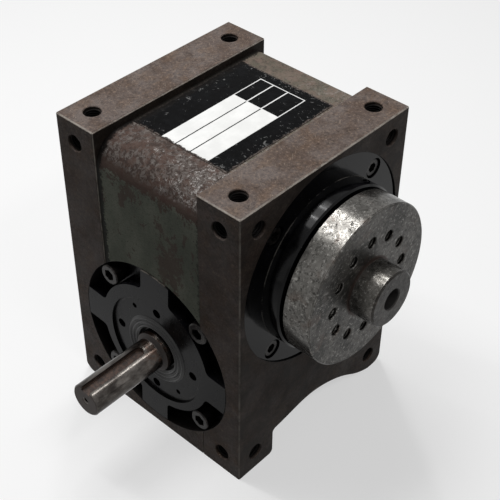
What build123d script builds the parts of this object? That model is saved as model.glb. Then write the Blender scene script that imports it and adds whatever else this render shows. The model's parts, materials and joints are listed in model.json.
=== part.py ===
"""Cam indexing gearbox: a globoidal cam on the input shaft turns a turret of roller followers.

Millimetres. The origin is on the output axis where it crosses the casting's front face.
The output shaft points along -Y, the input shaft crosses it at right angles along X, below it,
and +Z is up. The cam has one rib that leans across two neighbouring rollers, so one turn of the
input passes one roller and moves the output one station.
"""
import os
from math import asin, atan, cos, degrees, hypot, radians, sin, sqrt, tan

from build123d import *

# Casting
CENTRE_DISTANCE = 80.0
CASTING_DEPTH = 160.0
CASTING_WALL = 4.25
BASE_WALL = 7.0
PLATE_THICKNESS = 35.0
NECK_STEP = 5.5
NECK_STEP_LEFT = 1.0
NECK_CORNER_LEFT = 20.0
NECK_CORNER_RIGHT = 5.5
EDGE_CHAMFER = 0.8
FOOT_WIDTH = 34.6
FOOT_ROUND = 3.5
ARCH_SPRING = 24.0
ARCH_CROWN = 28.5
ARCH_CROWN_FROM_LEFT = 75.0
ARCH_HAUNCH = 15.4
ARCH_HAUNCH_FROM_LEFT = 116.0
RIGHT_TOE = 12.0
RIGHT_CORNER = 8.0
REAR_HEEL = 9.0

# Tapped holes at the casting's corners
CORNER_HOLE = 12.0
CORNER_HOLE_INSET = 16.5
CORNER_HOLE_DEPTH = 20.0
CORNER_HOLE_CHAMFER = 0.5

# Output shaft with its flange and nose
FLANGE_DIAMETER = 115.5
FLANGE_THICKNESS = 21.7
FLANGE_GAP = 2.0
FLANGE_EDGE = 1.0
NOSE_DIAMETER = 40.0
NOSE_LENGTH = 19.0
NOSE_CHAMFER = 1.2
NOSE_UNDERCUT = 0.7
NOSE_UNDERCUT_WIDTH = 1.2
SHAFT_BORE = 15.0
SHAFT_BORE_CHAMFER = 0.7
FLANGE_HOLE = 8.0
FLANGE_HOLE_COUNT = 12
FLANGE_HOLE_CIRCLE = 70.0
FLANGE_HOLE_DEPTH = 16.0
FLANGE_HOLE_CHAMFER = 0.5
FRONT_SHOULDER = 5.0
TURRET_SEAT_STEP = 2.5
REAR_THREAD_STEP = 1.0
REAR_TAIL_STEP = 1.5

# Front and rear covers, which carry the output bearings
COVER_SETBACK = 1.0
COVER_THICKNESS = 16.0
COVER_BOSS_HEIGHT = 13.5
COVER_BOSS_WALL = 9.0
COVER_BOSS_CHAMFER = 1.2
COVER_SPIGOT_WALL = 11.5
COVER_SPIGOT_LENGTH = 15.0
COVER_SPIGOT_RUNOUT = 3.0
COVER_SCREW = 8.0
COVER_SCREW_LENGTH = 20.0
COVER_SCREW_WEB = 0.95
COVER_RIM = 1.3
COVER_RING_SETBACK = 5.0
BEARING_SHOULDER = 4.5
REAR_HUB_WALL = 8.0
REAR_NUT_GAP = 3.1
SEAL_RECESS = 0.5
SEAL_TO_BEARING = 8.0

# Input shaft
INPUT_OVERHANG = 63.0
INPUT_END = 24.0
INPUT_COLLAR_STAND = 2.0
INPUT_SHOULDER = 7.0
KEYWAY_WIDTH = 8.0
KEYWAY_DEPTH = 4.0
KEYWAY_LENGTH = 51.0
KEYWAY_TILT = 7.0
CENTRE_HOLE = 4.0
CENTRE_HOLE_DEPTH = 7.0
SHAFT_CHAMFER = 1.0

# Eccentric input flanges, which carry the input bearings and set the cam's depth of mesh
ECCENTRICITY = 2.0
ECCENTRIC_TURN = 3.5
INPUT_FLANGE_THICKNESS = 20.0
INPUT_FLANGE_GAP = 0.5
INPUT_PAD_RIM = 2.5
INPUT_SPIGOT_WALL = 7.0
INPUT_SPIGOT_LENGTH = 12.0
INPUT_HUB_WALL = 6.0
HUB_LIP = 1.0
INPUT_RING_SETBACK = 4.0
CLAMP_SCREW = 10.0
CLAMP_SCREW_LENGTH = 18.0
CLAMP_WEB = 4.0
CLAMP_RIM = 2.5
CLAMP_SLOT_TRAVEL = 16.0
LOBE_WIDTH = 26.0
LOBE_FILLET = 4.0
BEARING_CAP_LAND = 7.0
BEARING_CAP_SETBACK = 2.0
BEARING_CAP_SEAT = 1.0
BEARING_CAP_WALL = 6.0
PIN_HOLE = 7.0
PIN_HOLE_DEPTH = 7.0
PIN_HOLE_RIM = 4.5
SMALL_PIN_HOLE = 4.0

# Cam and follower turret
STATIONS = 8
ROLLER_DIAMETER = 20.0
ROLLER_LENGTH = 13.2
ROLLER_CHAMFER = 0.5
ROLLER_RECESS = 1.4
ROLLER_RIM = 2.0
CAM_SEAT_STEP = 3.0
CAM_WALL = 8.0
CAM_HALF_WIDTH = 30.0
CAM_NUT_GAP = 4.0
RIB_CLEARANCE = 0.3
RIB_TIP_GAP = 1.0
RIB_STEP = 15.0
TURRET_WIDTH = 26.0
TURRET_CHAMFER = 1.0
TURRET_BOLT_SHIFT = 0.25
STUD_DIAMETER = 10.0
STUD_COLLAR = 0.9
STUD_HEAD = 1.0
STUD_HEAD_SINK = 0.2
STUD_SEAT_GAP = 2.0
TURRET_SCREW = 6.0
TURRET_SCREW_LENGTH = 24.0
SET_SCREW = 5.0
CAM_KEY_WIDTH = 10.0
CAM_KEY_HEIGHT = 8.0
CAM_KEY_SUNK = 5.0
CAM_KEY_LENGTH = 40.0
NUT_RADIAL_WALL = 8.5
NUT_WIDTH = 8.0
NUT_SLOT_WIDTH = 4.0
NUT_SLOT_DEPTH = 2.5

# Tapered roller bearings
INPUT_BEARING_BORE = 30.0
INPUT_BEARING_OUTSIDE = 72.0
INPUT_BEARING_WIDTH = 19.0
FRONT_BEARING_BORE = 60.0
FRONT_BEARING_OUTSIDE = 95.0
FRONT_BEARING_WIDTH = 18.0
REAR_BEARING_BORE = 35.0
REAR_BEARING_OUTSIDE = 72.0
REAR_BEARING_WIDTH = 17.0
TAPER_ANGLE = 12.5
ROLLERS_PER_BEARING = 12
RACE_RIB = 2.0
CAGE_THICKNESS = 1.2
CAGE_POCKET_GAP = 0.15

# Shaft seals: radial height, width and the depth of the lip behind the face
FRONT_SEAL_HEIGHT = 15.0
FRONT_SEAL_WIDTH = 10.0
REAR_SEAL_HEIGHT = 8.5
INPUT_SEAL_HEIGHT = 11.0
SMALL_SEAL_WIDTH = 7.0
SEAL_LIP = 4.0
RING_GROOVE_WIDTH = 4.0
RING_GROOVE_DEPTH = 3.0

# Oil plugs, sight glass and nameplate
PLUG_THREAD = 16.0
PLUG_HEAD = 22.0
PLUG_HEAD_HEIGHT = 4.0
PLUG_LENGTH = 12.0
PLUG_CHAMFER = 1.0
PLUG_SOCKET_DEPTH = 6.0
FILLER_HEIGHT = 42.0
SIGHT_GLASS_HEIGHT = 12.0
SIGHT_BEZEL = 28.0
SIGHT_BEZEL_HEIGHT = 4.5
SIGHT_WINDOW = 16.0
SIGHT_WINDOW_THICKNESS = 2.0
SIGHT_WINDOW_SINK = 1.0
SIGHT_WALL = 2.0
LABEL_LEFT_GAP = 11.0
LABEL_RIGHT_GAP = 16.0
LABEL_FRONT_GAP = 6.0
LABEL_REAR_GAP = 3.0
LABEL_THICKNESS = 0.4

# Clearances
SLIDE_FIT = 0.05
SCREW_CLEARANCE = 0.5
HEAD_CLEARANCE = 0.85
HEAD_SINK = 1.0
THREAD_RUNOUT = 6.0
LIP_FIT = 0.05
END_PLAY = 0.2
SHAFT_GAP = 3.0
TURRET_CHAMBER_GAP = 2.3
CAM_BORE_GAP = 0.5
CAM_CHAMBER_GAP = 6.5
BORE_STEP = 1.0

# Screw heads, over the screw's diameter
HEAD_SHARE = 1.6
SOCKET_SHARE = 0.8

# Journals, seats and threads step up or down from the bearings' bores
OUTPUT_SEAL_JOURNAL = FRONT_BEARING_BORE + 2 * FRONT_SHOULDER
TURRET_SEAT = REAR_BEARING_BORE + 2 * TURRET_SEAT_STEP
OUTPUT_NUT_THREAD = REAR_BEARING_BORE - 2 * REAR_THREAD_STEP
OUTPUT_TAIL = OUTPUT_NUT_THREAD - 2 * REAR_TAIL_STEP
CAM_SEAT = INPUT_BEARING_BORE + 2 * CAM_SEAT_STEP
INPUT_NUT_THREAD = (CAM_SEAT + INPUT_BEARING_BORE) / 2
FRONT_SEAL_OUTSIDE = OUTPUT_SEAL_JOURNAL + 2 * FRONT_SEAL_HEIGHT
REAR_SEAL_OUTSIDE = OUTPUT_TAIL + 2 * REAR_SEAL_HEIGHT
INPUT_SEAL_OUTSIDE = INPUT_BEARING_BORE + 2 * INPUT_SEAL_HEIGHT

# A cover grows outwards from its bearing and seal: spigot and boss, screws, rim, casting wall
COVER_SPIGOT = FRONT_BEARING_OUTSIDE + 2 * COVER_SPIGOT_WALL
COVER_BOSS = FRONT_SEAL_OUTSIDE + 2 * COVER_BOSS_WALL
COVER_SCREW_COUNTERBORE = HEAD_SHARE * COVER_SCREW + 2 * HEAD_CLEARANCE
COVER_SCREW_CIRCLE = max(COVER_SPIGOT, COVER_BOSS) + COVER_SCREW_COUNTERBORE + 2 * COVER_SCREW_WEB
COVER_DIAMETER = COVER_SCREW_CIRCLE + COVER_SCREW_COUNTERBORE + 2 * COVER_RIM
CASTING_WIDTH = COVER_DIAMETER + 2 * CASTING_WALL

# An input flange grows outwards in the same way: cap, spigot, clamping slots, rim
BEARING_CAP = INPUT_BEARING_OUTSIDE + 2 * BEARING_CAP_LAND
PIN_HOLE_CIRCLE = BEARING_CAP - PIN_HOLE - 2 * PIN_HOLE_RIM
INPUT_SPIGOT = BEARING_CAP + 2 * INPUT_SPIGOT_WALL
CLAMP_SLOT = CLAMP_SCREW + 2 * SCREW_CLEARANCE
CLAMP_CIRCLE = INPUT_SPIGOT + CLAMP_SLOT + 2 * CLAMP_WEB
INPUT_FLANGE_DIAMETER = CLAMP_CIRCLE + CLAMP_SLOT + 2 * CLAMP_RIM
INPUT_FLANGE_BORE = INPUT_FLANGE_DIAMETER + 2 * INPUT_FLANGE_GAP

# Places that follow from the sizes above
SIDE = CASTING_WIDTH / 2
TOP = CASTING_WIDTH / 2
MID_Y = CASTING_DEPTH / 2
INPUT_Z = -CENTRE_DISTANCE
FLANGE_CENTRE_Z = INPUT_Z + ECCENTRICITY
BASE = FLANGE_CENTRE_Z - INPUT_FLANGE_BORE / 2 - BASE_WALL
NECK_SIDE = SIDE - NECK_STEP
NECK_LEFT = SIDE - NECK_STEP_LEFT
NECK_TOP = TOP - NECK_STEP
REAR_FACE = CASTING_DEPTH

COVER_FACE = COVER_SETBACK
COVER_BACK = COVER_FACE + COVER_THICKNESS
SPIGOT_END = COVER_BACK + COVER_SPIGOT_LENGTH
SPIGOT_BORE_END = SPIGOT_END + COVER_SPIGOT_RUNOUT
BOSS_FACE = COVER_FACE - COVER_BOSS_HEIGHT
DISC_BACK = BOSS_FACE - FLANGE_GAP
DISC_FACE = DISC_BACK - FLANGE_THICKNESS
NOSE_END = DISC_FACE - NOSE_LENGTH
FRONT_SEAL_FACE = BOSS_FACE + SEAL_RECESS
FRONT_BEARING_FACE = FRONT_SEAL_FACE + FRONT_SEAL_WIDTH + SEAL_TO_BEARING
FRONT_BEARING_END = FRONT_BEARING_FACE + FRONT_BEARING_WIDTH
REAR_COVER_FACE = REAR_FACE - COVER_SETBACK
REAR_COVER_BACK = REAR_COVER_FACE - COVER_THICKNESS
REAR_BEARING_FACE = REAR_COVER_BACK - REAR_BEARING_WIDTH
REAR_HUB_END = REAR_BEARING_FACE - HUB_LIP
REAR_SPIGOT_END = REAR_COVER_BACK - COVER_SPIGOT_LENGTH
REAR_SEAL_FACE = REAR_COVER_FACE - SMALL_SEAL_WIDTH
TURRET_FRONT = MID_Y - TURRET_WIDTH / 2
TURRET_REAR = MID_Y + TURRET_WIDTH / 2

FLANGE_INNER_X = SIDE - INPUT_FLANGE_THICKNESS
INPUT_SPIGOT_X = FLANGE_INNER_X - INPUT_SPIGOT_LENGTH
CAP_FACE_X = SIDE - BEARING_CAP_SETBACK
INPUT_BEARING_X = CAM_HALF_WIDTH + NUT_WIDTH + CAM_NUT_GAP
INPUT_BEARING_END_X = INPUT_BEARING_X + INPUT_BEARING_WIDTH
INPUT_HUB_X = INPUT_BEARING_X - HUB_LIP
CAP_SEAT_X = INPUT_BEARING_END_X + BEARING_CAP_SEAT
POCKET_FLOOR_X = SIDE - CLAMP_SCREW
SHAFT_END_X = SIDE + INPUT_OVERHANG

# Cam and turret radii, all met in the plane through both axes
RATIO = 1 / STATIONS
STATION_ANGLE = 360 / STATIONS
ROLLER_RADIUS = ROLLER_DIAMETER / 2
CAM_WAIST = CAM_SEAT / 2 + CAM_WALL
CORE_ARC = CENTRE_DISTANCE - CAM_WAIST
ROLLER_SWEEP = CORE_ARC - RIB_CLEARANCE
ROLLER_TIP = sqrt(ROLLER_SWEEP ** 2 - ROLLER_RADIUS ** 2)
ROLLER_ROOT = ROLLER_TIP - ROLLER_LENGTH
TURRET_RADIUS = ROLLER_ROOT - END_PLAY - STUD_COLLAR
RIB_ARC = TURRET_RADIUS + RIB_TIP_GAP
CAM_RADIUS = INPUT_SPIGOT / 2 - CAM_BORE_GAP
TURRET_CHAMBER = ROLLER_SWEEP + TURRET_CHAMBER_GAP
CAM_CHAMBER = CAM_RADIUS + CAM_CHAMBER_GAP

# Turns a part that was made standing along +Z
FACING_FRONT = Rot(90, 0, 0)
FACING_REAR = Rot(-90, 0, 0)
FACING_LEFT = Rot(0, -90, 0)
FACING_RIGHT = Rot(0, 90, 0)
FACING_DOWN = Rot(180, 0, 0)


def rod(radius, start, end):
    """A cylinder along Z from start to end."""
    return Pos(0, 0, (start + end) / 2) * Cylinder(radius, end - start)


def rod_y(radius, start, end, x=0.0, z=0.0):
    """A cylinder along Y from start to end."""
    return Pos(x, (start + end) / 2, z) * Rot(90, 0, 0) * Cylinder(radius, end - start)


def rod_x(radius, start, end, y=MID_Y, z=INPUT_Z):
    """A cylinder along X from start to end."""
    return Pos((start + end) / 2, y, z) * Rot(0, 90, 0) * Cylinder(radius, end - start)


def turned_z(*corners):
    """Turns an outline of (z, radius) corners about Z."""
    outline = Polyline(*[(radius, 0, z) for z, radius in corners], close=True)
    return revolve(make_face(outline), Axis.Z)


def turned_y(*corners):
    """Turns an outline of (y, radius) corners about the output axis."""
    outline = Polyline(*[(radius, y, 0) for y, radius in corners], close=True)
    return revolve(make_face(outline), Axis.Y)


def turned_x(*corners):
    """Turns an outline of (x, radius) corners about the input axis."""
    outline = Polyline(*[(x, 0, radius) for x, radius in corners], close=True)
    return Pos(0, MID_Y, INPUT_Z) * revolve(make_face(outline), Axis.X)


def circle_places(count, circle, start=0.0):
    """(across, up) places of a bolt circle of the given diameter."""
    turns = [radians(start + 360 * i / count) for i in range(count)]
    return [(circle / 2 * cos(turn), circle / 2 * sin(turn)) for turn in turns]


def socket_screw(diameter, length):
    """A socket head screw along Z with the underside of its head at z = 0."""
    head_height = diameter
    screw = rod(HEAD_SHARE * diameter / 2, 0, head_height) + rod(diameter / 2, -length, 0)
    rim = screw.edges().filter_by(GeomType.CIRCLE).sort_by(Axis.Z)[-1]
    screw = chamfer(rim, 0.08 * diameter)
    socket = RegularPolygon(SOCKET_SHARE * diameter / 2, 6, major_radius=False)
    return screw - extrude(Pos(0, 0, head_height) * socket, -0.55 * diameter)


def group(pieces):
    """Separate solids of one node, such as a set of screws."""
    return Compound(children=[piece.solid() for piece in pieces])


def mirrored_x(part):
    """The same piece on the right-hand side."""
    return mirror(part, about=Plane.YZ)


def plate_outline():
    """Front view of an end plate: a left foot, an arch that runs down to a small right toe."""
    foot = -SIDE + FOOT_WIDTH
    with BuildSketch(Plane.XZ) as outline:
        with BuildLine():
            Polyline(
                (foot - FOOT_ROUND, BASE),
                (-SIDE, BASE),
                (-SIDE, TOP),
                (SIDE, TOP),
                (SIDE, BASE + RIGHT_CORNER),
            )
            TangentArc((SIDE - RIGHT_CORNER, BASE), (SIDE, BASE + RIGHT_CORNER), tangent=(1, 0))
            Line((SIDE - RIGHT_TOE, BASE), (SIDE - RIGHT_CORNER, BASE))
            TangentArc((foot - FOOT_ROUND, BASE), (foot, BASE + FOOT_ROUND), tangent=(1, 0))
            spring = BASE + ARCH_SPRING
            Line((foot, BASE + FOOT_ROUND), (foot, spring - FOOT_ROUND))
            TangentArc((foot, spring - FOOT_ROUND), (foot + FOOT_ROUND, spring), tangent=(0, 1))
            Spline(
                (foot + FOOT_ROUND, spring),
                (-SIDE + ARCH_CROWN_FROM_LEFT, BASE + ARCH_CROWN),
                (-SIDE + ARCH_HAUNCH_FROM_LEFT, BASE + ARCH_HAUNCH),
                (SIDE - RIGHT_TOE, BASE),
                tangents=[(1, 0.1), (1, -0.25)],
            )
        make_face()
    return outline.sketch


def end_plate(front, back):
    """One machined end plate with chamfered upper edges."""
    plate = Pos(0, front, 0) * extrude(plate_outline(), back - front, dir=(0, 1, 0))
    straight = plate.edges().filter_by(GeomType.LINE)
    upper = straight.filter_by(lambda edge: edge.center().Z > BASE + 2 * ARCH_SPRING)
    return chamfer(upper, EDGE_CHAMFER)


def neck():
    """The cast body between the plates, set back at the top and the right, with rounded upper corners."""
    height = NECK_TOP - BASE
    depth = CASTING_DEPTH - 2 * PLATE_THICKNESS
    middle = (NECK_SIDE - NECK_LEFT) / 2
    block = Pos(middle, MID_Y, BASE + height / 2) * Box(NECK_SIDE + NECK_LEFT, depth, height)
    block = fillet(upper_edge(block, 0), NECK_CORNER_LEFT)
    return fillet(upper_edge(block, -1), NECK_CORNER_RIGHT)


def upper_edge(block, place):
    """The first or last of a block's uppermost edges along Y, counted from the left."""
    return block.edges().filter_by(Axis.Y).group_by(Axis.Z)[-1].sort_by(Axis.X)[place]


def rear_heel_cutter():
    """Rounds the lower rear edge of the rear plate."""
    corner = Pos(0, REAR_FACE, BASE) * Box(2 * CASTING_WIDTH, 2 * REAR_HEEL, 2 * REAR_HEEL)
    return corner - rod_x(REAR_HEEL, -SIDE - 1, SIDE + 1, REAR_FACE - REAR_HEEL, BASE + REAR_HEEL)


def tapped_hole(diameter, depth, edge):
    """A blind hole that opens upwards at z = 0, with a chamfered mouth and a drilled tip."""
    radius = diameter / 2
    return turned_z(
        (1, 0), (1, radius + edge), (0, radius + edge), (-edge, radius), (-depth, radius),
        (-depth - radius / 2, 0),
    )


def corner_holes():
    """The tapped holes of the front, rear, top, left and right faces."""
    across = SIDE - CORNER_HOLE_INSET
    high = TOP - CORNER_HOLE_INSET
    low = BASE + CORNER_HOLE_INSET
    near = CORNER_HOLE_INSET
    far = REAR_FACE - CORNER_HOLE_INSET
    hole = tapped_hole(CORNER_HOLE, CORNER_HOLE_DEPTH, CORNER_HOLE_CHAMFER)
    holes = []
    for x in (-across, across):
        holes += [Pos(x, 0, z) * FACING_FRONT * hole for z in (high, low)]
        holes += [Pos(x, REAR_FACE, z) * FACING_REAR * hole for z in (high, low)]
        holes += [Pos(x, y, TOP) * hole for y in (near, far)]
    for y in (near, far):
        holes += [Pos(-SIDE, y, z) * FACING_LEFT * hole for z in (high, low)]
        holes += [Pos(SIDE, y, z) * FACING_RIGHT * hole for z in (high, low)]
    return holes


def cover_screw_places():
    """(x, z) of the four screws of each cover."""
    return circle_places(4, COVER_SCREW_CIRCLE, 45)


def clamp_screw_places():
    """(y, z) of the four clamping screws of each input flange."""
    places = circle_places(4, CLAMP_CIRCLE, 45)
    return [(MID_Y + across, FLANGE_CENTRE_Z + up) for across, up in places]


def housing():
    """One casting: two end plates, the neck between them, bored along Y and along X."""
    casting = end_plate(0, PLATE_THICKNESS) + neck() + end_plate(REAR_FACE - PLATE_THICKNESS, REAR_FACE)
    lower = Box(CASTING_WIDTH, CASTING_DEPTH - 2 * PLATE_THICKNESS, FLANGE_CENTRE_Z - BASE)
    casting += Pos(0, MID_Y, (FLANGE_CENTRE_Z + BASE) / 2) * lower
    bore = INPUT_FLANGE_BORE / 2
    casting += rod_x(bore + INPUT_PAD_RIM, 0, SIDE, z=FLANGE_CENTRE_Z)
    casting -= rear_heel_cutter()
    casting -= rod_y(COVER_DIAMETER / 2 + SLIDE_FIT, 0, COVER_BACK)
    casting -= rod_y(COVER_DIAMETER / 2 + SLIDE_FIT, REAR_COVER_BACK, REAR_FACE)
    casting -= rod_y(COVER_SPIGOT / 2, 0, SPIGOT_BORE_END)
    casting -= rod_y(COVER_SPIGOT / 2, REAR_FACE - SPIGOT_BORE_END, REAR_FACE)
    casting -= rod_y(TURRET_CHAMBER, SPIGOT_BORE_END, REAR_FACE - SPIGOT_BORE_END)
    casting -= rod_x(CAM_CHAMBER, -INPUT_SPIGOT_X + BORE_STEP, INPUT_SPIGOT_X - BORE_STEP)
    for side in (-1, 1):
        low, high = sorted((side * SIDE, side * FLANGE_INNER_X))
        casting -= rod_x(bore, low, high, z=FLANGE_CENTRE_Z)
        low, high = sorted((side * SIDE, side * (INPUT_SPIGOT_X - 2 * BORE_STEP)))
        casting -= rod_x(INPUT_SPIGOT / 2, low, high, z=FLANGE_CENTRE_Z)
    casting -= corner_holes()
    thread_depth = COVER_SCREW + HEAD_SINK + COVER_SCREW_LENGTH - COVER_THICKNESS + THREAD_RUNOUT
    casting -= [
        rod_y(COVER_SCREW / 2, low, low + thread_depth + 1, x, z)
        for x, z in cover_screw_places()
        for low in (COVER_BACK - 1, REAR_COVER_BACK - thread_depth)
    ]
    thread_end = POCKET_FLOOR_X - CLAMP_SCREW_LENGTH - CLAMP_SCREW / 10
    casting -= [
        rod_x(CLAMP_SCREW / 2, low, low + SIDE - thread_end, y, z)
        for y, z in clamp_screw_places()
        for low in (-SIDE, thread_end)
    ]
    casting -= rod_x(PLUG_THREAD / 2, NECK_SIDE - CASTING_WIDTH / 4, SIDE, z=FILLER_HEIGHT)
    casting -= rod_x(SIGHT_WINDOW / 2, NECK_SIDE - CASTING_WIDTH / 4, SIDE, z=SIGHT_GLASS_HEIGHT)
    casting -= Pos(0, MID_Y, 0) * rod(PLUG_THREAD / 2, BASE - 1, INPUT_Z)
    return casting


def front_cover():
    """Bearing housing at the output: flange, boss with the seal bore and spigot with the bearing seat."""
    seat = FRONT_BEARING_OUTSIDE / 2
    seal = FRONT_SEAL_OUTSIDE / 2
    boss = COVER_BOSS / 2
    seal_end = FRONT_SEAL_FACE + FRONT_SEAL_WIDTH
    cover = turned_y(
        (COVER_FACE, boss), (COVER_FACE, COVER_DIAMETER / 2), (COVER_BACK, COVER_DIAMETER / 2),
        (COVER_BACK, COVER_SPIGOT / 2 - SLIDE_FIT), (SPIGOT_END, COVER_SPIGOT / 2 - SLIDE_FIT),
        (SPIGOT_END, seat), (FRONT_BEARING_FACE, seat), (FRONT_BEARING_FACE, seat - BEARING_SHOULDER),
        (seal_end, seat - BEARING_SHOULDER), (seal_end, seal), (BOSS_FACE, seal),
        (BOSS_FACE, boss - COVER_BOSS_CHAMFER), (BOSS_FACE + COVER_BOSS_CHAMFER, boss),
    )
    cover -= ring_groove_y(COVER_BACK + COVER_RING_SETBACK)
    hole = FACING_FRONT * cover_screw_hole()
    return cover - [Pos(x, COVER_FACE, z) * hole for x, z in cover_screw_places()]


def rear_cover():
    """Bearing housing at the rear, with a seal for the hollow shaft's tail."""
    spigot = COVER_SPIGOT / 2 - SLIDE_FIT
    seat = REAR_BEARING_OUTSIDE / 2
    seal = REAR_SEAL_OUTSIDE / 2
    shoulder = OUTPUT_NUT_THREAD / 2 + NUT_RADIAL_WALL + REAR_NUT_GAP
    hub = seat + REAR_HUB_WALL
    cover = turned_y(
        (REAR_COVER_FACE, COVER_DIAMETER / 2), (REAR_COVER_BACK, COVER_DIAMETER / 2),
        (REAR_COVER_BACK, spigot), (REAR_SPIGOT_END, spigot), (REAR_SPIGOT_END, hub),
        (REAR_HUB_END, hub), (REAR_HUB_END, seat), (REAR_COVER_BACK, seat), (REAR_COVER_BACK, shoulder),
        (REAR_SEAL_FACE, shoulder), (REAR_SEAL_FACE, seal), (REAR_COVER_FACE, seal),
    )
    cover -= ring_groove_y(rear_ring_start())
    hole = FACING_REAR * cover_screw_hole()
    return cover - [Pos(x, REAR_COVER_FACE, z) * hole for x, z in cover_screw_places()]


def cover_screw_hole():
    """Counterbored clearance hole that opens upwards at z = 0."""
    counterbore = rod(COVER_SCREW_COUNTERBORE / 2, -COVER_SCREW - HEAD_SINK, 1)
    return counterbore + rod(COVER_SCREW / 2 + SCREW_CLEARANCE, -COVER_THICKNESS - 1, 0)


def cover_screws(face, facing):
    """The four screws of a cover, their heads sunk below its face."""
    sink = COVER_SCREW + HEAD_SINK
    inwards = 1 if face < MID_Y else -1
    screw = facing * socket_screw(COVER_SCREW - 2 * SLIDE_FIT, COVER_SCREW_LENGTH)
    return group([Pos(x, face + inwards * sink, z) * screw for x, z in cover_screw_places()])


def rear_ring_start():
    """Where the rear cover's ring groove starts along Y."""
    return REAR_COVER_BACK - COVER_RING_SETBACK - RING_GROOVE_WIDTH


def ring_groove_y(start):
    """Groove in a cover's spigot for its sealing ring."""
    outer = COVER_SPIGOT / 2 + 1
    return rod_y(outer, start, start + RING_GROOVE_WIDTH) - rod_y(
        COVER_SPIGOT / 2 - RING_GROOVE_DEPTH, start - 1, start + RING_GROOVE_WIDTH + 1
    )


def cover_ring(start):
    """Square sealing ring that lies in a cover's groove."""
    inner = COVER_SPIGOT / 2 - RING_GROOVE_DEPTH + SLIDE_FIT
    outer = COVER_SPIGOT / 2 - SLIDE_FIT
    low = start + SLIDE_FIT
    high = start + RING_GROOVE_WIDTH - SLIDE_FIT
    return turned_y((low, inner), (low, outer), (high, outer), (high, inner))


def lobes():
    """Face view of an input flange's raised part: a round middle with four straight arms."""
    middle = Circle(clamp_pocket_radius())
    reach = INPUT_FLANGE_DIAMETER + 2
    shape = middle + Rectangle(reach, LOBE_WIDTH) + Rectangle(LOBE_WIDTH, reach)
    rim = INPUT_FLANGE_DIAMETER / 2
    inner = shape.vertices().filter_by(lambda point: hypot(point.X, point.Y) < rim)
    return fillet(inner, LOBE_FILLET)


def clamp_pocket_radius():
    """Inner wall of the pockets, just inside the clamping screws' heads."""
    return CLAMP_CIRCLE / 2 - HEAD_SHARE * CLAMP_SCREW / 2 - SCREW_CLEARANCE


def input_flange():
    """Left eccentric flange: its rim is offset from the shaft, so turning it moves the cam up or down."""
    thickness = INPUT_FLANGE_THICKNESS
    rim = INPUT_FLANGE_DIAMETER / 2
    disc = rod(rim, -thickness, 0)
    pocket = rod(rim + 1, -CLAMP_SCREW, 1) - extrude(Pos(0, 0, -CLAMP_SCREW) * lobes(), CLAMP_SCREW + 1)
    disc -= pocket
    travel = degrees(CLAMP_SLOT_TRAVEL / (CLAMP_CIRCLE / 2))
    for station in range(4):
        start = 45 + 90 * station + ECCENTRIC_TURN - travel / 2
        slot = SlotArc(CenterArc((0, 0), CLAMP_CIRCLE / 2, start, travel), CLAMP_SLOT)
        disc -= extrude(Pos(0, 0, -thickness - 1) * slot, thickness)
    disc += rod(INPUT_SPIGOT / 2 - SLIDE_FIT, -thickness - INPUT_SPIGOT_LENGTH, -thickness)
    groove = -thickness - INPUT_RING_SETBACK - RING_GROOVE_WIDTH
    disc -= rod(INPUT_SPIGOT, groove, groove + RING_GROOVE_WIDTH) - rod(
        INPUT_SPIGOT / 2 - RING_GROOVE_DEPTH, groove - 1, groove + RING_GROOVE_WIDTH + 1
    )
    flange = Pos(-SIDE, MID_Y, FLANGE_CENTRE_Z) * Rot(ECCENTRIC_TURN, 0, 0) * FACING_LEFT * disc
    seat = INPUT_BEARING_OUTSIDE / 2
    flange += rod_x(seat + INPUT_HUB_WALL, -INPUT_SPIGOT_X, -INPUT_HUB_X)
    flange -= rod_x(seat, -SIDE, 0)
    return flange - rod_x(BEARING_CAP / 2 + SLIDE_FIT, -SIDE, -CAP_SEAT_X)


def flange_ring():
    """Square sealing ring in the left input flange's groove."""
    inner = INPUT_SPIGOT / 2 - RING_GROOVE_DEPTH + SLIDE_FIT
    outer = INPUT_SPIGOT / 2 - SLIDE_FIT
    low = -FLANGE_INNER_X + INPUT_RING_SETBACK + SLIDE_FIT
    high = low + RING_GROOVE_WIDTH - 2 * SLIDE_FIT
    ring = turned_x((low, inner), (low, outer), (high, outer), (high, inner))
    return Pos(0, 0, ECCENTRICITY) * ring


def clamp_screws():
    """The left flange's four clamping screws."""
    screw = FACING_LEFT * socket_screw(CLAMP_SCREW - 2 * SLIDE_FIT, CLAMP_SCREW_LENGTH)
    return group([Pos(-POCKET_FLOOR_X, y, z) * screw for y, z in clamp_screw_places()])


def pin_holes():
    """Holes for the pin spanner that turns a bearing cap, opening upwards at z = 0."""
    large = rod(PIN_HOLE / 2, -PIN_HOLE_DEPTH, 1)
    small = rod(SMALL_PIN_HOLE / 2, -PIN_HOLE_DEPTH / 2, 1)
    holes = [Pos(x, y, 0) * large for x, y in circle_places(4, PIN_HOLE_CIRCLE)]
    return holes + [Pos(x, y, 0) * small for x, y in circle_places(2, PIN_HOLE_CIRCLE, 38)]


def bearing_cap(blind):
    """Threaded cap that presses the input bearing home: with a seal bore, or blind."""
    cap = rod(BEARING_CAP / 2, -CAP_FACE_X + CAP_SEAT_X, 0)
    nose = CAP_FACE_X - INPUT_BEARING_END_X
    seat = INPUT_BEARING_OUTSIDE / 2
    cap += rod(seat - SLIDE_FIT, -nose, 0)
    cap -= rod(seat - BEARING_CAP_WALL, -nose - 1, -SMALL_SEAL_WIDTH - SEAL_LIP)
    if not blind:
        cap -= rod(INPUT_SEAL_OUTSIDE / 2, -SMALL_SEAL_WIDTH, 1)
        cap -= rod(INPUT_BEARING_BORE / 2 + SHAFT_GAP, -nose, 1)
    return cap - pin_holes()


def placed_left(part):
    """Puts a piece that was made along +Z on the left input face at the shaft's centre."""
    return Pos(-CAP_FACE_X, MID_Y, INPUT_Z) * Rot(ECCENTRIC_TURN, 0, 0) * FACING_LEFT * part


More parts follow.
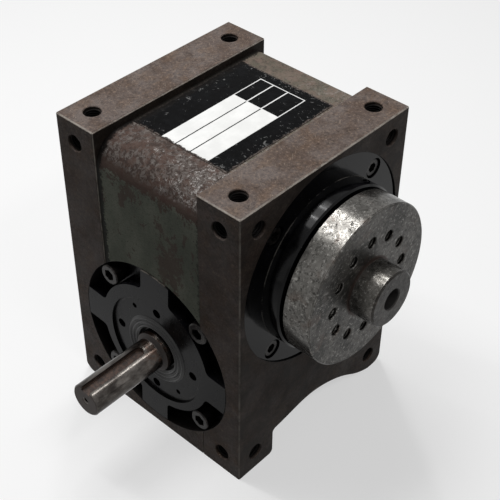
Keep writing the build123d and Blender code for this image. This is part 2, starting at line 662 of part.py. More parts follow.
def seal(bore, outside, width):
    """Rubber-covered shaft seal along Z, its face at z = 0 and its lip set back."""
    lip_outside = bore / 2 + 0.36 * (outside - bore) / 2
    return turned_z(
        (0, outside / 2), (0, lip_outside), (-SEAL_LIP, lip_outside), (-SEAL_LIP, bore / 2 + LIP_FIT),
        (-SEAL_LIP - 1, bore / 2 + LIP_FIT), (-width, lip_outside), (-width, outside / 2),
    )


def taper_angles(bore, outside):
    """Angles of a bearing's roller axis and of the roller's own cone, and the axis length to its apex."""
    pitch = (bore + outside) / 4
    length = pitch / sin(radians(TAPER_ANGLE))
    roller = 0.25 * (outside - bore) / 2
    return degrees(atan(roller / length)), length, pitch


def taper_bearing(bore, outside, width):
    """Outer ring, inner ring and caged rollers, along Z with the rollers' large ends up."""
    half_cone, length, pitch = taper_angles(bore, outside)
    apex = width / 2 - pitch / tan(radians(TAPER_ANGLE))
    outer_slope = tan(radians(TAPER_ANGLE + half_cone))
    inner_slope = tan(radians(TAPER_ANGLE - half_cone))
    rib_start = 0.89 * width

    def outer_race(z):
        return (z - apex) * outer_slope + SLIDE_FIT

    def inner_race(z):
        return (z - apex) * inner_slope - SLIDE_FIT

    outer = turned_z(
        (0, outside / 2), (width, outside / 2), (width, outer_race(width)), (0, outer_race(0))
    )
    rib = inner_race(width) + RACE_RIB
    inner = turned_z(
        (0, bore / 2), (0, inner_race(0)), (rib_start, inner_race(rib_start)),
        (rib_start, rib), (width, rib), (width, bore / 2),
    )
    roller_length = 0.6 * width
    low = length - roller_length / 2
    high = length + roller_length / 2
    grow = tan(radians(half_cone))

    def rollers(extra):
        body = Cone(low * grow + extra, high * grow + extra, roller_length + 2 * extra)
        lean = Pos(0, 0, apex) * Rot(0, TAPER_ANGLE, 0) * Pos(0, 0, length) * body
        return [Rot(0, 0, 360 * i / ROLLERS_PER_BEARING) * lean for i in range(ROLLERS_PER_BEARING)]

    slope = tan(radians(TAPER_ANGLE))
    half = CAGE_THICKNESS / 2
    cage_low = 0.08 * width
    cage_high = 0.95 * width
    cage = turned_z(
        (cage_low, (cage_low - apex) * slope - half), (cage_low, (cage_low - apex) * slope + half),
        (cage_high, (cage_high - apex) * slope + half), (cage_high, (cage_high - apex) * slope - half),
    )
    cage -= rollers(CAGE_POCKET_GAP)
    return outer, inner, group([cage] + rollers(0))


def output_shaft():
    """Hollow output shaft with its drilled flange and its nose."""
    bore = SHAFT_BORE / 2
    nose = NOSE_DIAMETER / 2
    disc = FLANGE_DIAMETER / 2
    journal = OUTPUT_SEAL_JOURNAL / 2
    front_seat = FRONT_BEARING_BORE / 2
    rear_seat = REAR_BEARING_BORE / 2
    thread = OUTPUT_NUT_THREAD / 2
    thread_end = REAR_COVER_BACK + NUT_WIDTH
    undercut = DISC_FACE - NOSE_UNDERCUT_WIDTH
    shaft = turned_y(
        (NOSE_END, bore + SHAFT_BORE_CHAMFER), (NOSE_END, nose - NOSE_CHAMFER),
        (NOSE_END + NOSE_CHAMFER, nose), (undercut, nose), (undercut, nose - NOSE_UNDERCUT),
        (DISC_FACE, nose - NOSE_UNDERCUT), (DISC_FACE, disc - FLANGE_EDGE),
        (DISC_FACE + FLANGE_EDGE, disc), (DISC_BACK - FLANGE_EDGE, disc),
        (DISC_BACK, disc - FLANGE_EDGE), (DISC_BACK, journal), (FRONT_BEARING_FACE, journal),
        (FRONT_BEARING_FACE, front_seat), (TURRET_FRONT, front_seat),
        (TURRET_FRONT, TURRET_SEAT / 2), (REAR_BEARING_FACE, TURRET_SEAT / 2),
        (REAR_BEARING_FACE, rear_seat), (REAR_COVER_BACK, rear_seat), (REAR_COVER_BACK, thread),
        (thread_end, thread), (thread_end, OUTPUT_TAIL / 2), (REAR_COVER_FACE, OUTPUT_TAIL / 2),
        (REAR_COVER_FACE, bore), (NOSE_END + SHAFT_BORE_CHAMFER, bore),
    )
    hole = tapped_hole(FLANGE_HOLE, FLANGE_HOLE_DEPTH, FLANGE_HOLE_CHAMFER)
    places = circle_places(FLANGE_HOLE_COUNT, FLANGE_HOLE_CIRCLE)
    shaft -= [Pos(x, DISC_FACE, z) * FACING_FRONT * hole for x, z in places]
    bolt = FACING_FRONT * rod(TURRET_SCREW / 2, 0, TURRET_SCREW_LENGTH)
    return shaft - [Pos(x, TURRET_FRONT, z) * bolt for x, z in turret_bolt_places()]


def turret_bolt_circle():
    """Circle of the bolts and dowels between the follower studs, on the shaft's shoulder."""
    return (FRONT_BEARING_BORE + TURRET_SEAT) / 2 + 2 * TURRET_BOLT_SHIFT


def follower_angle(index):
    """Direction of a follower in the plane of the input shaft, seen with x across and z up."""
    return -90 + STATION_ANGLE * (index + 0.5)


def radial(index):
    """Turns a piece that stands along +Z so that it points out along a follower."""
    return Pos(0, MID_Y, 0) * Rot(0, 90 - follower_angle(index), 0)


def turret():
    """Ring that carries the follower studs on the output shaft."""
    seat = TURRET_SEAT / 2 + SLIDE_FIT
    rim = TURRET_RADIUS - TURRET_CHAMFER
    ring = turned_y(
        (TURRET_FRONT, seat), (TURRET_FRONT, rim), (TURRET_FRONT + TURRET_CHAMFER, TURRET_RADIUS),
        (TURRET_REAR - TURRET_CHAMFER, TURRET_RADIUS), (TURRET_REAR, rim), (TURRET_REAR, seat),
    )
    stud_hole = rod(STUD_DIAMETER / 2, 0, TURRET_RADIUS + 1)
    ring -= [radial(index) * stud_hole for index in range(STATIONS)]
    for index, (x, z) in enumerate(turret_bolt_places()):
        ring -= rod_y(TURRET_SCREW / 2, TURRET_FRONT - 1, TURRET_REAR + 1, x, z)
        if index % 2 == 0:
            counterbore = HEAD_SHARE * TURRET_SCREW / 2 + SCREW_CLEARANCE
            ring -= rod_y(counterbore, turret_bolt_seat(), TURRET_REAR + 1, x, z)
    for x, z in circle_places(STATIONS, set_screw_circle(), follower_angle(0)):
        ring -= rod_y(SET_SCREW / 2, MID_Y, TURRET_REAR + 1, x, z)
    return ring


def set_screw_circle():
    """Circle of the set screws, over the middle of each stud's shank."""
    return TURRET_RADIUS + TURRET_SEAT / 2 + STUD_SEAT_GAP


def turret_bolt_places():
    """(x, z) of the turret's screws and dowels, by turns, midway between the studs."""
    return circle_places(STATIONS, turret_bolt_circle(), follower_angle(0) + STATION_ANGLE / 2)


def turret_bolt_seat():
    """Where the heads of the turret's screws rest, just below its rear face."""
    return TURRET_REAR - TURRET_SCREW - HEAD_SINK


def turret_bolts():
    """Four screws that clamp the turret to the shaft's shoulder."""
    length = TURRET_SCREW_LENGTH + TURRET_WIDTH / 2
    screw = FACING_REAR * socket_screw(TURRET_SCREW - 2 * SLIDE_FIT, length)
    return group([Pos(x, turret_bolt_seat(), z) * screw for x, z in turret_bolt_places()[::2]])


def turret_dowels():
    """Four dowel pins that carry the indexing torque."""
    places = turret_bolt_places()[1::2]
    reach = TURRET_FRONT - TURRET_SCREW_LENGTH / 2
    return group([rod_y(TURRET_SCREW / 2 - SLIDE_FIT, reach, TURRET_REAR - 1, x, z) for x, z in places])


def follower_studs():
    """Eight studs: a shank in the turret, a collar, the roller's journal and a retaining head."""
    shank = STUD_DIAMETER / 2 - SLIDE_FIT
    collar = STUD_DIAMETER / 2 + ROLLER_RIM
    collar_end = TURRET_RADIUS + STUD_COLLAR
    head = ROLLER_RADIUS - ROLLER_RIM - SCREW_CLEARANCE
    head_end = ROLLER_TIP - STUD_HEAD_SINK
    seat = TURRET_SEAT / 2 + STUD_SEAT_GAP
    stud = turned_z(
        (seat, 0), (seat, shank), (TURRET_RADIUS, shank), (TURRET_RADIUS, collar),
        (collar_end, collar), (collar_end, shank), (head_end - STUD_HEAD, shank),
        (head_end - STUD_HEAD, head), (head_end, head), (head_end, 0),
    )
    return group([radial(index) * stud for index in range(STATIONS)])


def set_screws():
    """Eight set screws that lock the studs in the turret."""
    places = circle_places(STATIONS, set_screw_circle(), follower_angle(0))
    low = MID_Y + STUD_DIAMETER / 2
    high = TURRET_REAR - TURRET_CHAMFER
    screw = rod_y(SET_SCREW / 2 - SLIDE_FIT, low, high)
    socket = Pos(0, high, 0) * FACING_REAR * RegularPolygon(SET_SCREW / 4, 6)
    screw -= extrude(socket, -SET_SCREW / 2)
    return group([Pos(x, 0, z) * screw for x, z in places])


def follower_roller(index):
    """One roller, free to turn on its stud."""
    bore = STUD_DIAMETER / 2
    recess = ROLLER_RADIUS - ROLLER_RIM
    edge = ROLLER_RADIUS - ROLLER_CHAMFER
    floor = ROLLER_TIP - ROLLER_RECESS
    roller = turned_z(
        (ROLLER_ROOT, bore), (ROLLER_ROOT, edge), (ROLLER_ROOT + ROLLER_CHAMFER, ROLLER_RADIUS),
        (ROLLER_TIP - ROLLER_CHAMFER, ROLLER_RADIUS), (ROLLER_TIP, edge), (ROLLER_TIP, recess),
        (floor, recess), (floor, bore),
    )
    return radial(index) * roller


def rib_section(cam_turn):
    """Cross-section of the rib at one turn of the cam, between two rollers as they then stand."""
    middle = radians(RATIO * cam_turn)
    reach_in = TURRET_RADIUS - 1
    reach_out = CORE_ARC + 1.5

    def corner(reach, side):
        lean = middle + side * radians(STATION_ANGLE / 2)
        height = CENTRE_DISTANCE - reach * cos(lean)
        lead = RATIO * reach / height
        offset = side * (ROLLER_RADIUS + RIB_CLEARANCE) * sqrt(1 + lead ** 2)
        across = reach * sin(lean) - offset * cos(lean)
        depth = -reach * cos(lean) - offset * sin(lean)
        up = CENTRE_DISTANCE + depth
        turn = radians(cam_turn)
        return (across, MID_Y - up * sin(turn), INPUT_Z + up * cos(turn))

    points = [corner(reach_in, -1), corner(reach_out, -1), corner(reach_out, 1), corner(reach_in, 1)]
    return Wire.make_polygon(points, close=True)


def waisted_blank(arc, limit):
    """Body of revolution about the input axis whose side is an arc about the output axis."""
    edge = CAM_HALF_WIDTH
    beyond = edge + 1
    end_height = CENTRE_DISTANCE - sqrt(arc ** 2 - beyond ** 2)
    side = ThreePointArc((-beyond, 0, end_height), (0, 0, CENTRE_DISTANCE - arc), (beyond, 0, end_height))
    ends = Polyline((beyond, 0, end_height), (beyond, 0, 0), (-beyond, 0, 0), (-beyond, 0, end_height))
    blank = Pos(0, MID_Y, INPUT_Z) * revolve(make_face([side, ends]), Axis.X)
    return blank & rod_x(limit, -edge, edge)


def cam():
    """Globoidal cam: a waisted core with one helical rib that tapers towards its tip."""
    rib_half_angle = STATION_ANGLE / 2
    end_lean = degrees(asin(min(1, CAM_HALF_WIDTH / RIB_ARC))) + rib_half_angle / 2
    steps = int(end_lean / RATIO / RIB_STEP) + 1
    sections = [rib_section(RIB_STEP * step) for step in range(-steps, steps + 1)]
    rib = Solid.make_loft(sections) & waisted_blank(RIB_ARC, CAM_RADIUS)
    body = waisted_blank(CORE_ARC, CAM_RADIUS) + rib
    body -= rod_x(CAM_SEAT / 2 + SLIDE_FIT, -CAM_HALF_WIDTH - 1, CAM_HALF_WIDTH + 1)
    slot_height = CAM_SEAT / 2 + CAM_KEY_HEIGHT - CAM_KEY_SUNK + END_PLAY
    slot = Box(2 * CAM_HALF_WIDTH + 1, CAM_KEY_WIDTH + 2 * SLIDE_FIT, slot_height)
    return body - Pos(0, MID_Y, INPUT_Z + slot_height / 2) * slot


def cam_key():
    """Parallel key between the input shaft and the cam, with round ends."""
    bottom = INPUT_Z + CAM_SEAT / 2 - CAM_KEY_SUNK
    outline = SlotOverall(CAM_KEY_LENGTH, CAM_KEY_WIDTH)
    return extrude(Pos(0, MID_Y, bottom) * outline, CAM_KEY_HEIGHT)


def input_shaft():
    """Input shaft: keyed end, seal and bearing journals, shoulder, cam seat and nut thread."""
    end = INPUT_END / 2
    journal = INPUT_BEARING_BORE / 2
    seat = CAM_SEAT / 2
    thread = INPUT_NUT_THREAD / 2
    shoulder = journal + INPUT_SHOULDER
    collar = SIDE + INPUT_COLLAR_STAND
    step = journal - end
    shaft = turned_x(
        (-SHAFT_END_X, 0), (-SHAFT_END_X, end - SHAFT_CHAMFER), (-SHAFT_END_X + SHAFT_CHAMFER, end),
        (-collar - step / 2, end), (-collar, journal), (-INPUT_BEARING_X, journal),
        (-INPUT_BEARING_X, shoulder), (-CAM_HALF_WIDTH, shoulder), (-CAM_HALF_WIDTH, seat),
        (CAM_HALF_WIDTH, seat), (CAM_HALF_WIDTH, thread), (INPUT_BEARING_X, thread),
        (INPUT_BEARING_X, journal), (CAP_SEAT_X, journal), (CAP_SEAT_X, 0),
    )
    centre = Pos(-SHAFT_END_X, MID_Y, INPUT_Z) * FACING_LEFT * tapped_hole(
        CENTRE_HOLE, CENTRE_HOLE_DEPTH, SHAFT_CHAMFER
    )
    keyway = SlotOverall(2 * KEYWAY_LENGTH, KEYWAY_WIDTH)
    keyway = extrude(Pos(-SHAFT_END_X, 0, end - KEYWAY_DEPTH) * keyway, 2 * KEYWAY_DEPTH)
    keyway = Pos(0, MID_Y, INPUT_Z) * Rot(KEYWAY_TILT, 0, 0) * keyway
    key_seat = SlotOverall(CAM_KEY_LENGTH + 2 * SLIDE_FIT, CAM_KEY_WIDTH + 2 * SLIDE_FIT)
    key_seat = extrude(Pos(0, MID_Y, INPUT_Z + seat - CAM_KEY_SUNK) * key_seat, CAM_KEY_SUNK + 1)
    return shaft - centre - keyway - key_seat


def slotted_nut(thread, start, width):
    """Round shaft nut along Z with four spanner slots."""
    outer = thread / 2 + NUT_RADIAL_WALL
    nut = rod(outer, start, start + width) - rod(thread / 2 + SLIDE_FIT, start - 1, start + width + 1)
    slot = Pos(outer, 0, start + width / 2) * Box(2 * NUT_SLOT_DEPTH, NUT_SLOT_WIDTH, width + 2)
    return nut - [Rot(0, 0, 90 * turn) * slot for turn in range(4)]


def cam_locknut():
    """Nut that clamps the cam against the input shaft's shoulder."""
    nut = slotted_nut(INPUT_NUT_THREAD, CAM_HALF_WIDTH, NUT_WIDTH)
    return Pos(0, MID_Y, INPUT_Z) * FACING_RIGHT * nut


def nameplate():
    """Thin blank plate on the flat of the neck's top."""
    left = -NECK_LEFT + NECK_CORNER_LEFT + LABEL_LEFT_GAP
    right = NECK_SIDE - NECK_CORNER_RIGHT - LABEL_RIGHT_GAP
    front = PLATE_THICKNESS + LABEL_FRONT_GAP
    rear = REAR_FACE - PLATE_THICKNESS - LABEL_REAR_GAP
    place = Pos((left + right) / 2, (front + rear) / 2, NECK_TOP + LABEL_THICKNESS / 2)
    return place * Box(right - left, rear - front, LABEL_THICKNESS)


def socket_plug(head_height):
    """Screw plug along Z with a hexagon socket; with no head it sits below its face."""
    plug = rod(PLUG_THREAD / 2 - SLIDE_FIT, -PLUG_LENGTH, max(head_height, 0))
    if head_height > 0:
        plug += rod(PLUG_HEAD / 2, 0, head_height)
        plug = chamfer(plug.edges().filter_by(GeomType.CIRCLE).sort_by(Axis.Z)[-1], PLUG_CHAMFER)
    socket = RegularPolygon(PLUG_THREAD / 4, 6, major_radius=False)
    return plug - extrude(Pos(0, 0, head_height) * socket, -PLUG_SOCKET_DEPTH)


def sight_glass():
    """Threaded bezel of the oil sight glass, and its window."""
    window = SIGHT_WINDOW / 2
    face = SIGHT_BEZEL_HEIGHT - SIGHT_WINDOW_SINK
    back = face - SIGHT_WINDOW_THICKNESS
    bezel = rod(SIGHT_BEZEL / 2, 0, SIGHT_BEZEL_HEIGHT)
    bezel = chamfer(bezel.edges().filter_by(GeomType.CIRCLE).sort_by(Axis.Z)[-1], PLUG_CHAMFER)
    bezel += rod(window - SLIDE_FIT, -PLUG_LENGTH, 0)
    bezel -= rod(window - SIGHT_WALL, -PLUG_LENGTH - 1, SIGHT_BEZEL_HEIGHT + 1)
    bezel -= rod(window, back, SIGHT_BEZEL_HEIGHT + 1)
    glass = rod(window - SLIDE_FIT, back, face)
    place = Pos(NECK_SIDE, MID_Y, SIGHT_GLASS_HEIGHT) * FACING_RIGHT
    return place * bezel, place * glass


def make_parts():
    """Every named piece of the gearbox in its place."""
    flange = input_flange()
    ring = flange_ring()
    screws = clamp_screws()
    cap = placed_left(bearing_cap(blind=False))
    blind_cap = mirrored_x(placed_left(bearing_cap(blind=True)))
    bezel, glass = sight_glass()
    input_outer, input_inner, input_rollers = taper_bearing(
        INPUT_BEARING_BORE, INPUT_BEARING_OUTSIDE, INPUT_BEARING_WIDTH
    )
    front_outer, front_inner, front_rollers = taper_bearing(
        FRONT_BEARING_BORE, FRONT_BEARING_OUTSIDE, FRONT_BEARING_WIDTH
    )
    rear_outer, rear_inner, rear_rollers = taper_bearing(
        REAR_BEARING_BORE, REAR_BEARING_OUTSIDE, REAR_BEARING_WIDTH
    )
    on_left = Pos(-INPUT_BEARING_END_X, MID_Y, INPUT_Z) * FACING_RIGHT
    on_right = Pos(INPUT_BEARING_END_X, MID_Y, INPUT_Z) * FACING_LEFT
    at_front = Pos(0, FRONT_BEARING_FACE, 0) * FACING_REAR
    at_rear = Pos(0, REAR_COVER_BACK, 0) * FACING_FRONT
    front_nut = slotted_nut(FRONT_BEARING_BORE, 0, NUT_WIDTH)
    rear_nut = slotted_nut(OUTPUT_NUT_THREAD, 0, NUT_WIDTH)
    front_seal = seal(OUTPUT_SEAL_JOURNAL, FRONT_SEAL_OUTSIDE - 2 * SLIDE_FIT, FRONT_SEAL_WIDTH)
    rear_seal = seal(OUTPUT_TAIL, REAR_SEAL_OUTSIDE - 2 * SLIDE_FIT, SMALL_SEAL_WIDTH)
    input_seal = seal(INPUT_BEARING_BORE, INPUT_SEAL_OUTSIDE - 2 * SLIDE_FIT, SMALL_SEAL_WIDTH)
    plug = socket_plug(PLUG_HEAD_HEIGHT)
    flush_plug = socket_plug(0)

    parts = {
        "housing": housing(),
        "front_cover": front_cover(),
        "front_cover_screws": cover_screws(COVER_FACE, FACING_FRONT),
        "front_cover_ring": cover_ring(COVER_BACK + COVER_RING_SETBACK),
        "output_seal": Pos(0, FRONT_SEAL_FACE, 0) * FACING_FRONT * front_seal,
        "rear_cover": rear_cover(),
        "rear_cover_screws": cover_screws(REAR_COVER_FACE, FACING_REAR),
        "rear_cover_ring": cover_ring(rear_ring_start()),
        "rear_seal": Pos(0, REAR_COVER_FACE, 0) * FACING_REAR * rear_seal,
        "input_flange_left": flange,
        "input_flange_left_screws": screws,
        "input_flange_left_ring": ring,
        "input_flange_right": mirrored_x(flange),
        "input_flange_right_screws": mirrored_x(screws),
        "input_flange_right_ring": mirrored_x(ring),
        "input_bearing_cap_left": cap,
        "input_bearing_cap_right": blind_cap,
        "input_seal": placed_left(input_seal),
        "nameplate": nameplate(),
        "oil_filler_plug": Pos(NECK_SIDE, MID_Y, FILLER_HEIGHT) * FACING_RIGHT * plug,
        "oil_drain_plug": Pos(0, MID_Y, BASE + 1) * FACING_DOWN * flush_plug,
        "sight_glass_bezel": bezel,
        "sight_glass_window": glass,
        "input_bearing_left_outer_ring": on_left * input_outer,
        "input_bearing_right_outer_ring": on_right * input_outer,
        "front_bearing_outer_ring": at_front * front_outer,
        "rear_bearing_outer_ring": at_rear * rear_outer,
        "input_shaft": input_shaft(),
        "cam": cam(),
        "cam_key": cam_key(),
        "cam_locknut": cam_locknut(),
        "input_bearing_left_inner_ring": on_left * input_inner,
        "input_bearing_right_inner_ring": on_right * input_inner,
        "input_bearing_left_rollers": on_left * input_rollers,
        "input_bearing_right_rollers": on_right * input_rollers,
        "output_shaft": output_shaft(),
        "turret": turret(),
        "turret_bolts": turret_bolts(),
        "turret_dowels": turret_dowels(),
        "follower_studs": follower_studs(),
        "follower_set_screws": set_screws(),
        "front_bearing_inner_ring": at_front * front_inner,
        "rear_bearing_inner_ring": at_rear * rear_inner,
        "front_bearing_locknut": Pos(0, FRONT_BEARING_END, 0) * FACING_REAR * front_nut,
        "rear_bearing_locknut": Pos(0, REAR_COVER_BACK, 0) * FACING_REAR * rear_nut,
        "front_bearing_rollers": at_front * front_rollers,
        "rear_bearing_rollers": at_rear * rear_rollers,
    }
    for index in range(STATIONS):
        parts[f"follower_roller_{index + 1}"] = follower_roller(index)
    return parts


os.makedirs("parts", exist_ok=True)
for name, part in make_parts().items():
    export_step(part, f"parts/{name}.step")
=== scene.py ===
"""Dressed view of a worn cam indexing gearbox on a pale floor.

Metres, in the frame of the part: the origin is on the output axis at the casting's front face, the
output shaft points along -Y, the input shaft along -X below it, and +Z is up.
"""
import json
from math import pi

import bpy
import numpy as np
from mathutils import Matrix, Vector


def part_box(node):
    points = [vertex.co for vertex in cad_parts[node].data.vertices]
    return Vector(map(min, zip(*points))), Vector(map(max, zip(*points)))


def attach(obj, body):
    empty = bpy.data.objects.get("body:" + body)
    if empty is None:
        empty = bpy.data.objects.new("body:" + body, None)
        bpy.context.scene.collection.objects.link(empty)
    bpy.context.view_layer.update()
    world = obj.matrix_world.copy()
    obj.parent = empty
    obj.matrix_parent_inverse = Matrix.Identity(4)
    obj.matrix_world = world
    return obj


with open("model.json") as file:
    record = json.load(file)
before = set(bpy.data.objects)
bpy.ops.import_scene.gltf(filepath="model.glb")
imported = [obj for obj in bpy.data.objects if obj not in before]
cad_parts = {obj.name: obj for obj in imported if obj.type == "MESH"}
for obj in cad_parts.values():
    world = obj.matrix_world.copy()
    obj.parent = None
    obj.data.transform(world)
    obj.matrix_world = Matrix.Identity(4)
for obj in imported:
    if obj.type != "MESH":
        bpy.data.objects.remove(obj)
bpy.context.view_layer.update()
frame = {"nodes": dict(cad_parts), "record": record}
nodes = frame["nodes"]

# Camera, as the photograph was taken
FRAME_PIXELS = 500
FOCAL_PIXELS = 1108.8
SENSOR_WIDTH_MM = 36.0
CAMERA_PLACE = Vector((-0.4336, -0.3271, 0.4727))
CAMERA_LOOK = Vector((0.5628, 0.5083, -0.6519))
CAMERA_UP = Vector((0.476, 0.4455, 0.7583))

# Casting
MM = 0.001
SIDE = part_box("input_flange_right")[1].x
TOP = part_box("housing")[1].z
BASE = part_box("housing")[0].z
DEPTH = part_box("housing")[1].y
MID_Y = DEPTH / 2
NECK_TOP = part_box("nameplate")[0].z
RUST_PATCH_Y = 62 * MM
RUST_PATCH_Z = 6 * MM
PLATE = 35 * MM
HOLE_INSET = 16.5 * MM
HOLE_RADIUS = 6 * MM
HOLE_DEPTH = 25 * MM
INPUT_BORE_RADIUS = 68.2 * MM
COVER_BORE_RADIUS = 76 * MM

# Input side
INPUT_Z = -80 * MM
FLANGE_Z = INPUT_Z + 2 * MM
CAP_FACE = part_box("input_bearing_cap_left")[0].x
CAP_RADIUS = 43 * MM
SHAFT_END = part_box("input_shaft")[0].x
SHAFT_CONE = -SIDE - 2.8 * MM
KEYWAY_HALF_LENGTH = 26 * MM
KEYWAY_FLOOR_HEIGHT = 6 * MM
SEAL_RIDGES_INNER = 17.6 * MM
SEAL_RIDGES_OUTER = 27.2 * MM
SEAL_RIDGE_HEIGHT = 1.3 * MM
SEAL_RIDGE_COUNT = 3
SEAL_STEPS = 128

# Output side
COVER_FACE = 1 * MM
BOSS_RADIUS = 59 * MM
DISC_BACK = -14.5 * MM
DISC_FACE = -36.2 * MM
DISC_RADIUS = 57.75 * MM
FLANGE_HOLE_COUNT = 12
FLANGE_HOLE_CIRCLE = 35 * MM
NOSE_RADIUS = 20 * MM
OUTPUT_BORE_RADIUS = 7.5 * MM

# Threads: radius of the hole, pitch, height of the ridge, depth where it starts, its length along
# the hole, and points in each turn
CORNER_THREAD = (HOLE_RADIUS, 1.75 * MM, 0.85 * MM, 1.6 * MM, 7.8 * MM, 40)
FLANGE_THREAD = (4 * MM, 1.25 * MM, 0.6 * MM, 1.4 * MM, 11 * MM, 32)

# Label
LABEL_LOW, LABEL_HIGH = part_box("nameplate")
LABEL_CELLS = 17.7 * MM
LABEL_FIELD_END = 44.8 * MM
LABEL_FIELD_LOW = 57.8 * MM
LABEL_FIELD_HIGH = 97 * MM
LABEL_DIVIDERS = (72.6 * MM, 85.2 * MM)
LABEL_LINE = 0.7 * MM
PRINT_SOFTNESS = 0.2 * MM

# Floor and fill light
FLOOR_RADII = (0.01, 6)
FLOOR_STEPS = 96
FLOOR_LIT = (0.1, 0.1, 0.1, 1.0)
FLOOR_SEEN = (0.45, 0.45, 0.45, 1.0)
FLOOR_GLOW = 0.55
FILL_COLOUR = (0.95, 0.97, 1.0, 1.0)
FILL_STRENGTH = 0.055
WHITE = (1.0, 1.0, 1.0, 1.0)


def tone(red, green, blue):
    """A screen colour of 0 to 255 as the linear colour that a shader takes."""
    share = np.array([red, green, blue]) / 255
    linear = np.where(share <= 0.04045, share / 12.92, ((share + 0.055) / 1.055) ** 2.4)
    return (*linear.tolist(), 1.0)


class Field:
    """What a node gives over a surface; sums, differences and products of fields add nodes."""

    def __init__(self, owner, socket):
        self.owner = owner
        self.socket = socket

    def __add__(self, other):
        return self.owner.math("ADD", self, other)

    def __sub__(self, other):
        return self.owner.math("SUBTRACT", self, other)

    def __rsub__(self, other):
        return self.owner.math("SUBTRACT", other, self)

    def __mul__(self, other):
        return self.owner.math("MULTIPLY", self, other)

    def __abs__(self):
        return self.owner.math("ABSOLUTE", self)


class Nodes:
    """A node tree being put together: each method adds a node and returns its field."""

    def __init__(self, tree):
        self.tree = tree
        self.tree.nodes.clear()

    def node(self, kind, **settings):
        made = self.tree.nodes.new(kind)
        for name, value in settings.items():
            setattr(made, name, value)
        return made

    def put(self, socket, value):
        """Links a field or an output to a socket, or sets the socket to a plain value."""
        if isinstance(value, Field):
            value = value.socket
        if isinstance(value, bpy.types.NodeSocket):
            self.tree.links.new(value, socket)
        else:
            socket.default_value = value

    def fill(self, sockets, values):
        for socket, value in zip(sockets, values):
            self.put(socket, value)

    def math(self, operation, *values, clamp=False):
        made = self.node("ShaderNodeMath", operation=operation, use_clamp=clamp)
        self.fill(made.inputs, values)
        return Field(self, made.outputs[0])

    def total(self, *values):
        """Sum of masks, kept between 0 and 1."""
        result = values[0]
        for value in values[1:]:
            result = self.math("ADD", result, value, clamp=True)
        return result

    def seen(self):
        """1 for rays that show the backdrop: straight from the camera, in a reflection, through glass."""
        rays = self.node("ShaderNodeLightPath").outputs
        names = ("Is Camera Ray", "Is Glossy Ray", "Is Transmission Ray")
        return self.total(*[Field(self, rays[name]) for name in names])


class Finish(Nodes):
    """A material being put together, with its place and its facing in the part's own coordinates."""

    def __init__(self, name):
        self.material = bpy.data.materials.new(name)
        self.material.use_nodes = True
        super().__init__(self.material.node_tree)
        self.shader = self.node("ShaderNodeBsdfPrincipled")
        surface = self.node("ShaderNodeOutputMaterial").inputs["Surface"]
        self.put(surface, self.shader.outputs["BSDF"])
        coordinates = self.node("ShaderNodeTexCoord")
        self.place = coordinates.outputs["Object"]
        self.x, self.y, self.z = self.split(self.place)
        self.along, self.upward = self.split(coordinates.outputs["Normal"])[1:]

    def split(self, vector):
        made = self.node("ShaderNodeSeparateXYZ")
        self.put(made.inputs[0], vector)
        return [Field(self, output) for output in made.outputs]

    def join(self, x, y, z):
        made = self.node("ShaderNodeCombineXYZ")
        self.fill(made.inputs, (x, y, z))
        return made.outputs[0]

    def lower(self, first, second):
        return self.math("MINIMUM", first, second)

    def step(self, value, start, end):
        """0 at start rising smoothly to 1 at end; end may be lower than start."""
        made = self.node("ShaderNodeMapRange", interpolation_type="SMOOTHSTEP")
        self.fill([made.inputs[name] for name in ("Value", "From Min", "From Max")], (value, start, end))
        return Field(self, made.outputs[0])

    def near(self, value, centre, reach, soft):
        """1 where the value lies within reach of the centre, fading to 0 over soft."""
        return self.step(abs(value - centre), reach + soft, reach)

    def distance(self, first, second):
        """Distance from an axis, from the two coordinates across it."""
        return self.math("SQRT", self.math("POWER", first, 2) + self.math("POWER", second, 2))

    def from_axis(self, height):
        """Distance from the axis along X at the middle of the casting's depth and the given height."""
        return self.distance(self.y - MID_Y, self.z - height)

    def noise(self, size, detail, rough, stretch=(1, 1, 1), seed=0, where=None, bend=0):
        """Cloudy noise from 0 to 1 whose features are about size millimetres across."""
        mapping = self.node("ShaderNodeMapping")
        self.put(mapping.inputs["Vector"], where or self.place)
        mapping.inputs["Scale"].default_value = [1 / (size * MM * part) for part in stretch]
        made = self.node("ShaderNodeTexNoise", noise_dimensions="4D")
        self.put(made.inputs["Vector"], mapping.outputs[0])
        names = ("W", "Scale", "Detail", "Roughness", "Distortion")
        self.fill([made.inputs[name] for name in names], (seed, 1, detail, rough, bend))
        return Field(self, made.outputs["Fac"])

    def patches(self, start, end, *sizes, **settings):
        """Noise cut into patches: 0 where it lies at start, 1 where it lies at end."""
        return self.step(self.noise(*sizes, **settings), start, end)

    def mix(self, factor, first, second):
        """Goes from the first colour to the second as the factor goes from 0 to 1."""
        made = self.node("ShaderNodeMix", data_type="RGBA")
        self.fill((made.inputs[0], made.inputs[6], made.inputs[7]), (factor, first, second))
        return made.outputs[2]

    def blend(self, factor, first, second):
        """Goes from the first number to the second as the factor goes from 0 to 1."""
        made = self.node("ShaderNodeMix", data_type="FLOAT")
        self.fill((made.inputs[0], made.inputs[2], made.inputs[3]), (factor, first, second))
        return Field(self, made.outputs[0])

    def two_tones(self, mask, first, second):
        """The first screen colour where the mask is 0 and the second where it is 1."""
        return self.mix(mask, tone(*first), tone(*second))

    def coat(self, colour, mask, red, green, blue):
        """The colour, with a screen colour laid over it where the mask is 1."""
        return self.mix(mask, colour, tone(red, green, blue))

    def relief(self, height, depth):
        """Bump of the given depth in metres where the height goes from 0 to 1."""
        made = self.node("ShaderNodeBump")
        self.fill([made.inputs[name] for name in ("Strength", "Distance", "Height")], (1, depth, height))
        self.put(self.shader.inputs["Normal"], made.outputs[0])

    def finish(self, colour, rough, metal=0.0, specular=0.5):
        names = ("Base Color", "Roughness", "Metallic", "Specular IOR Level")
        self.fill([self.shader.inputs[name] for name in names], (colour, rough, metal, specular))
        return self.material


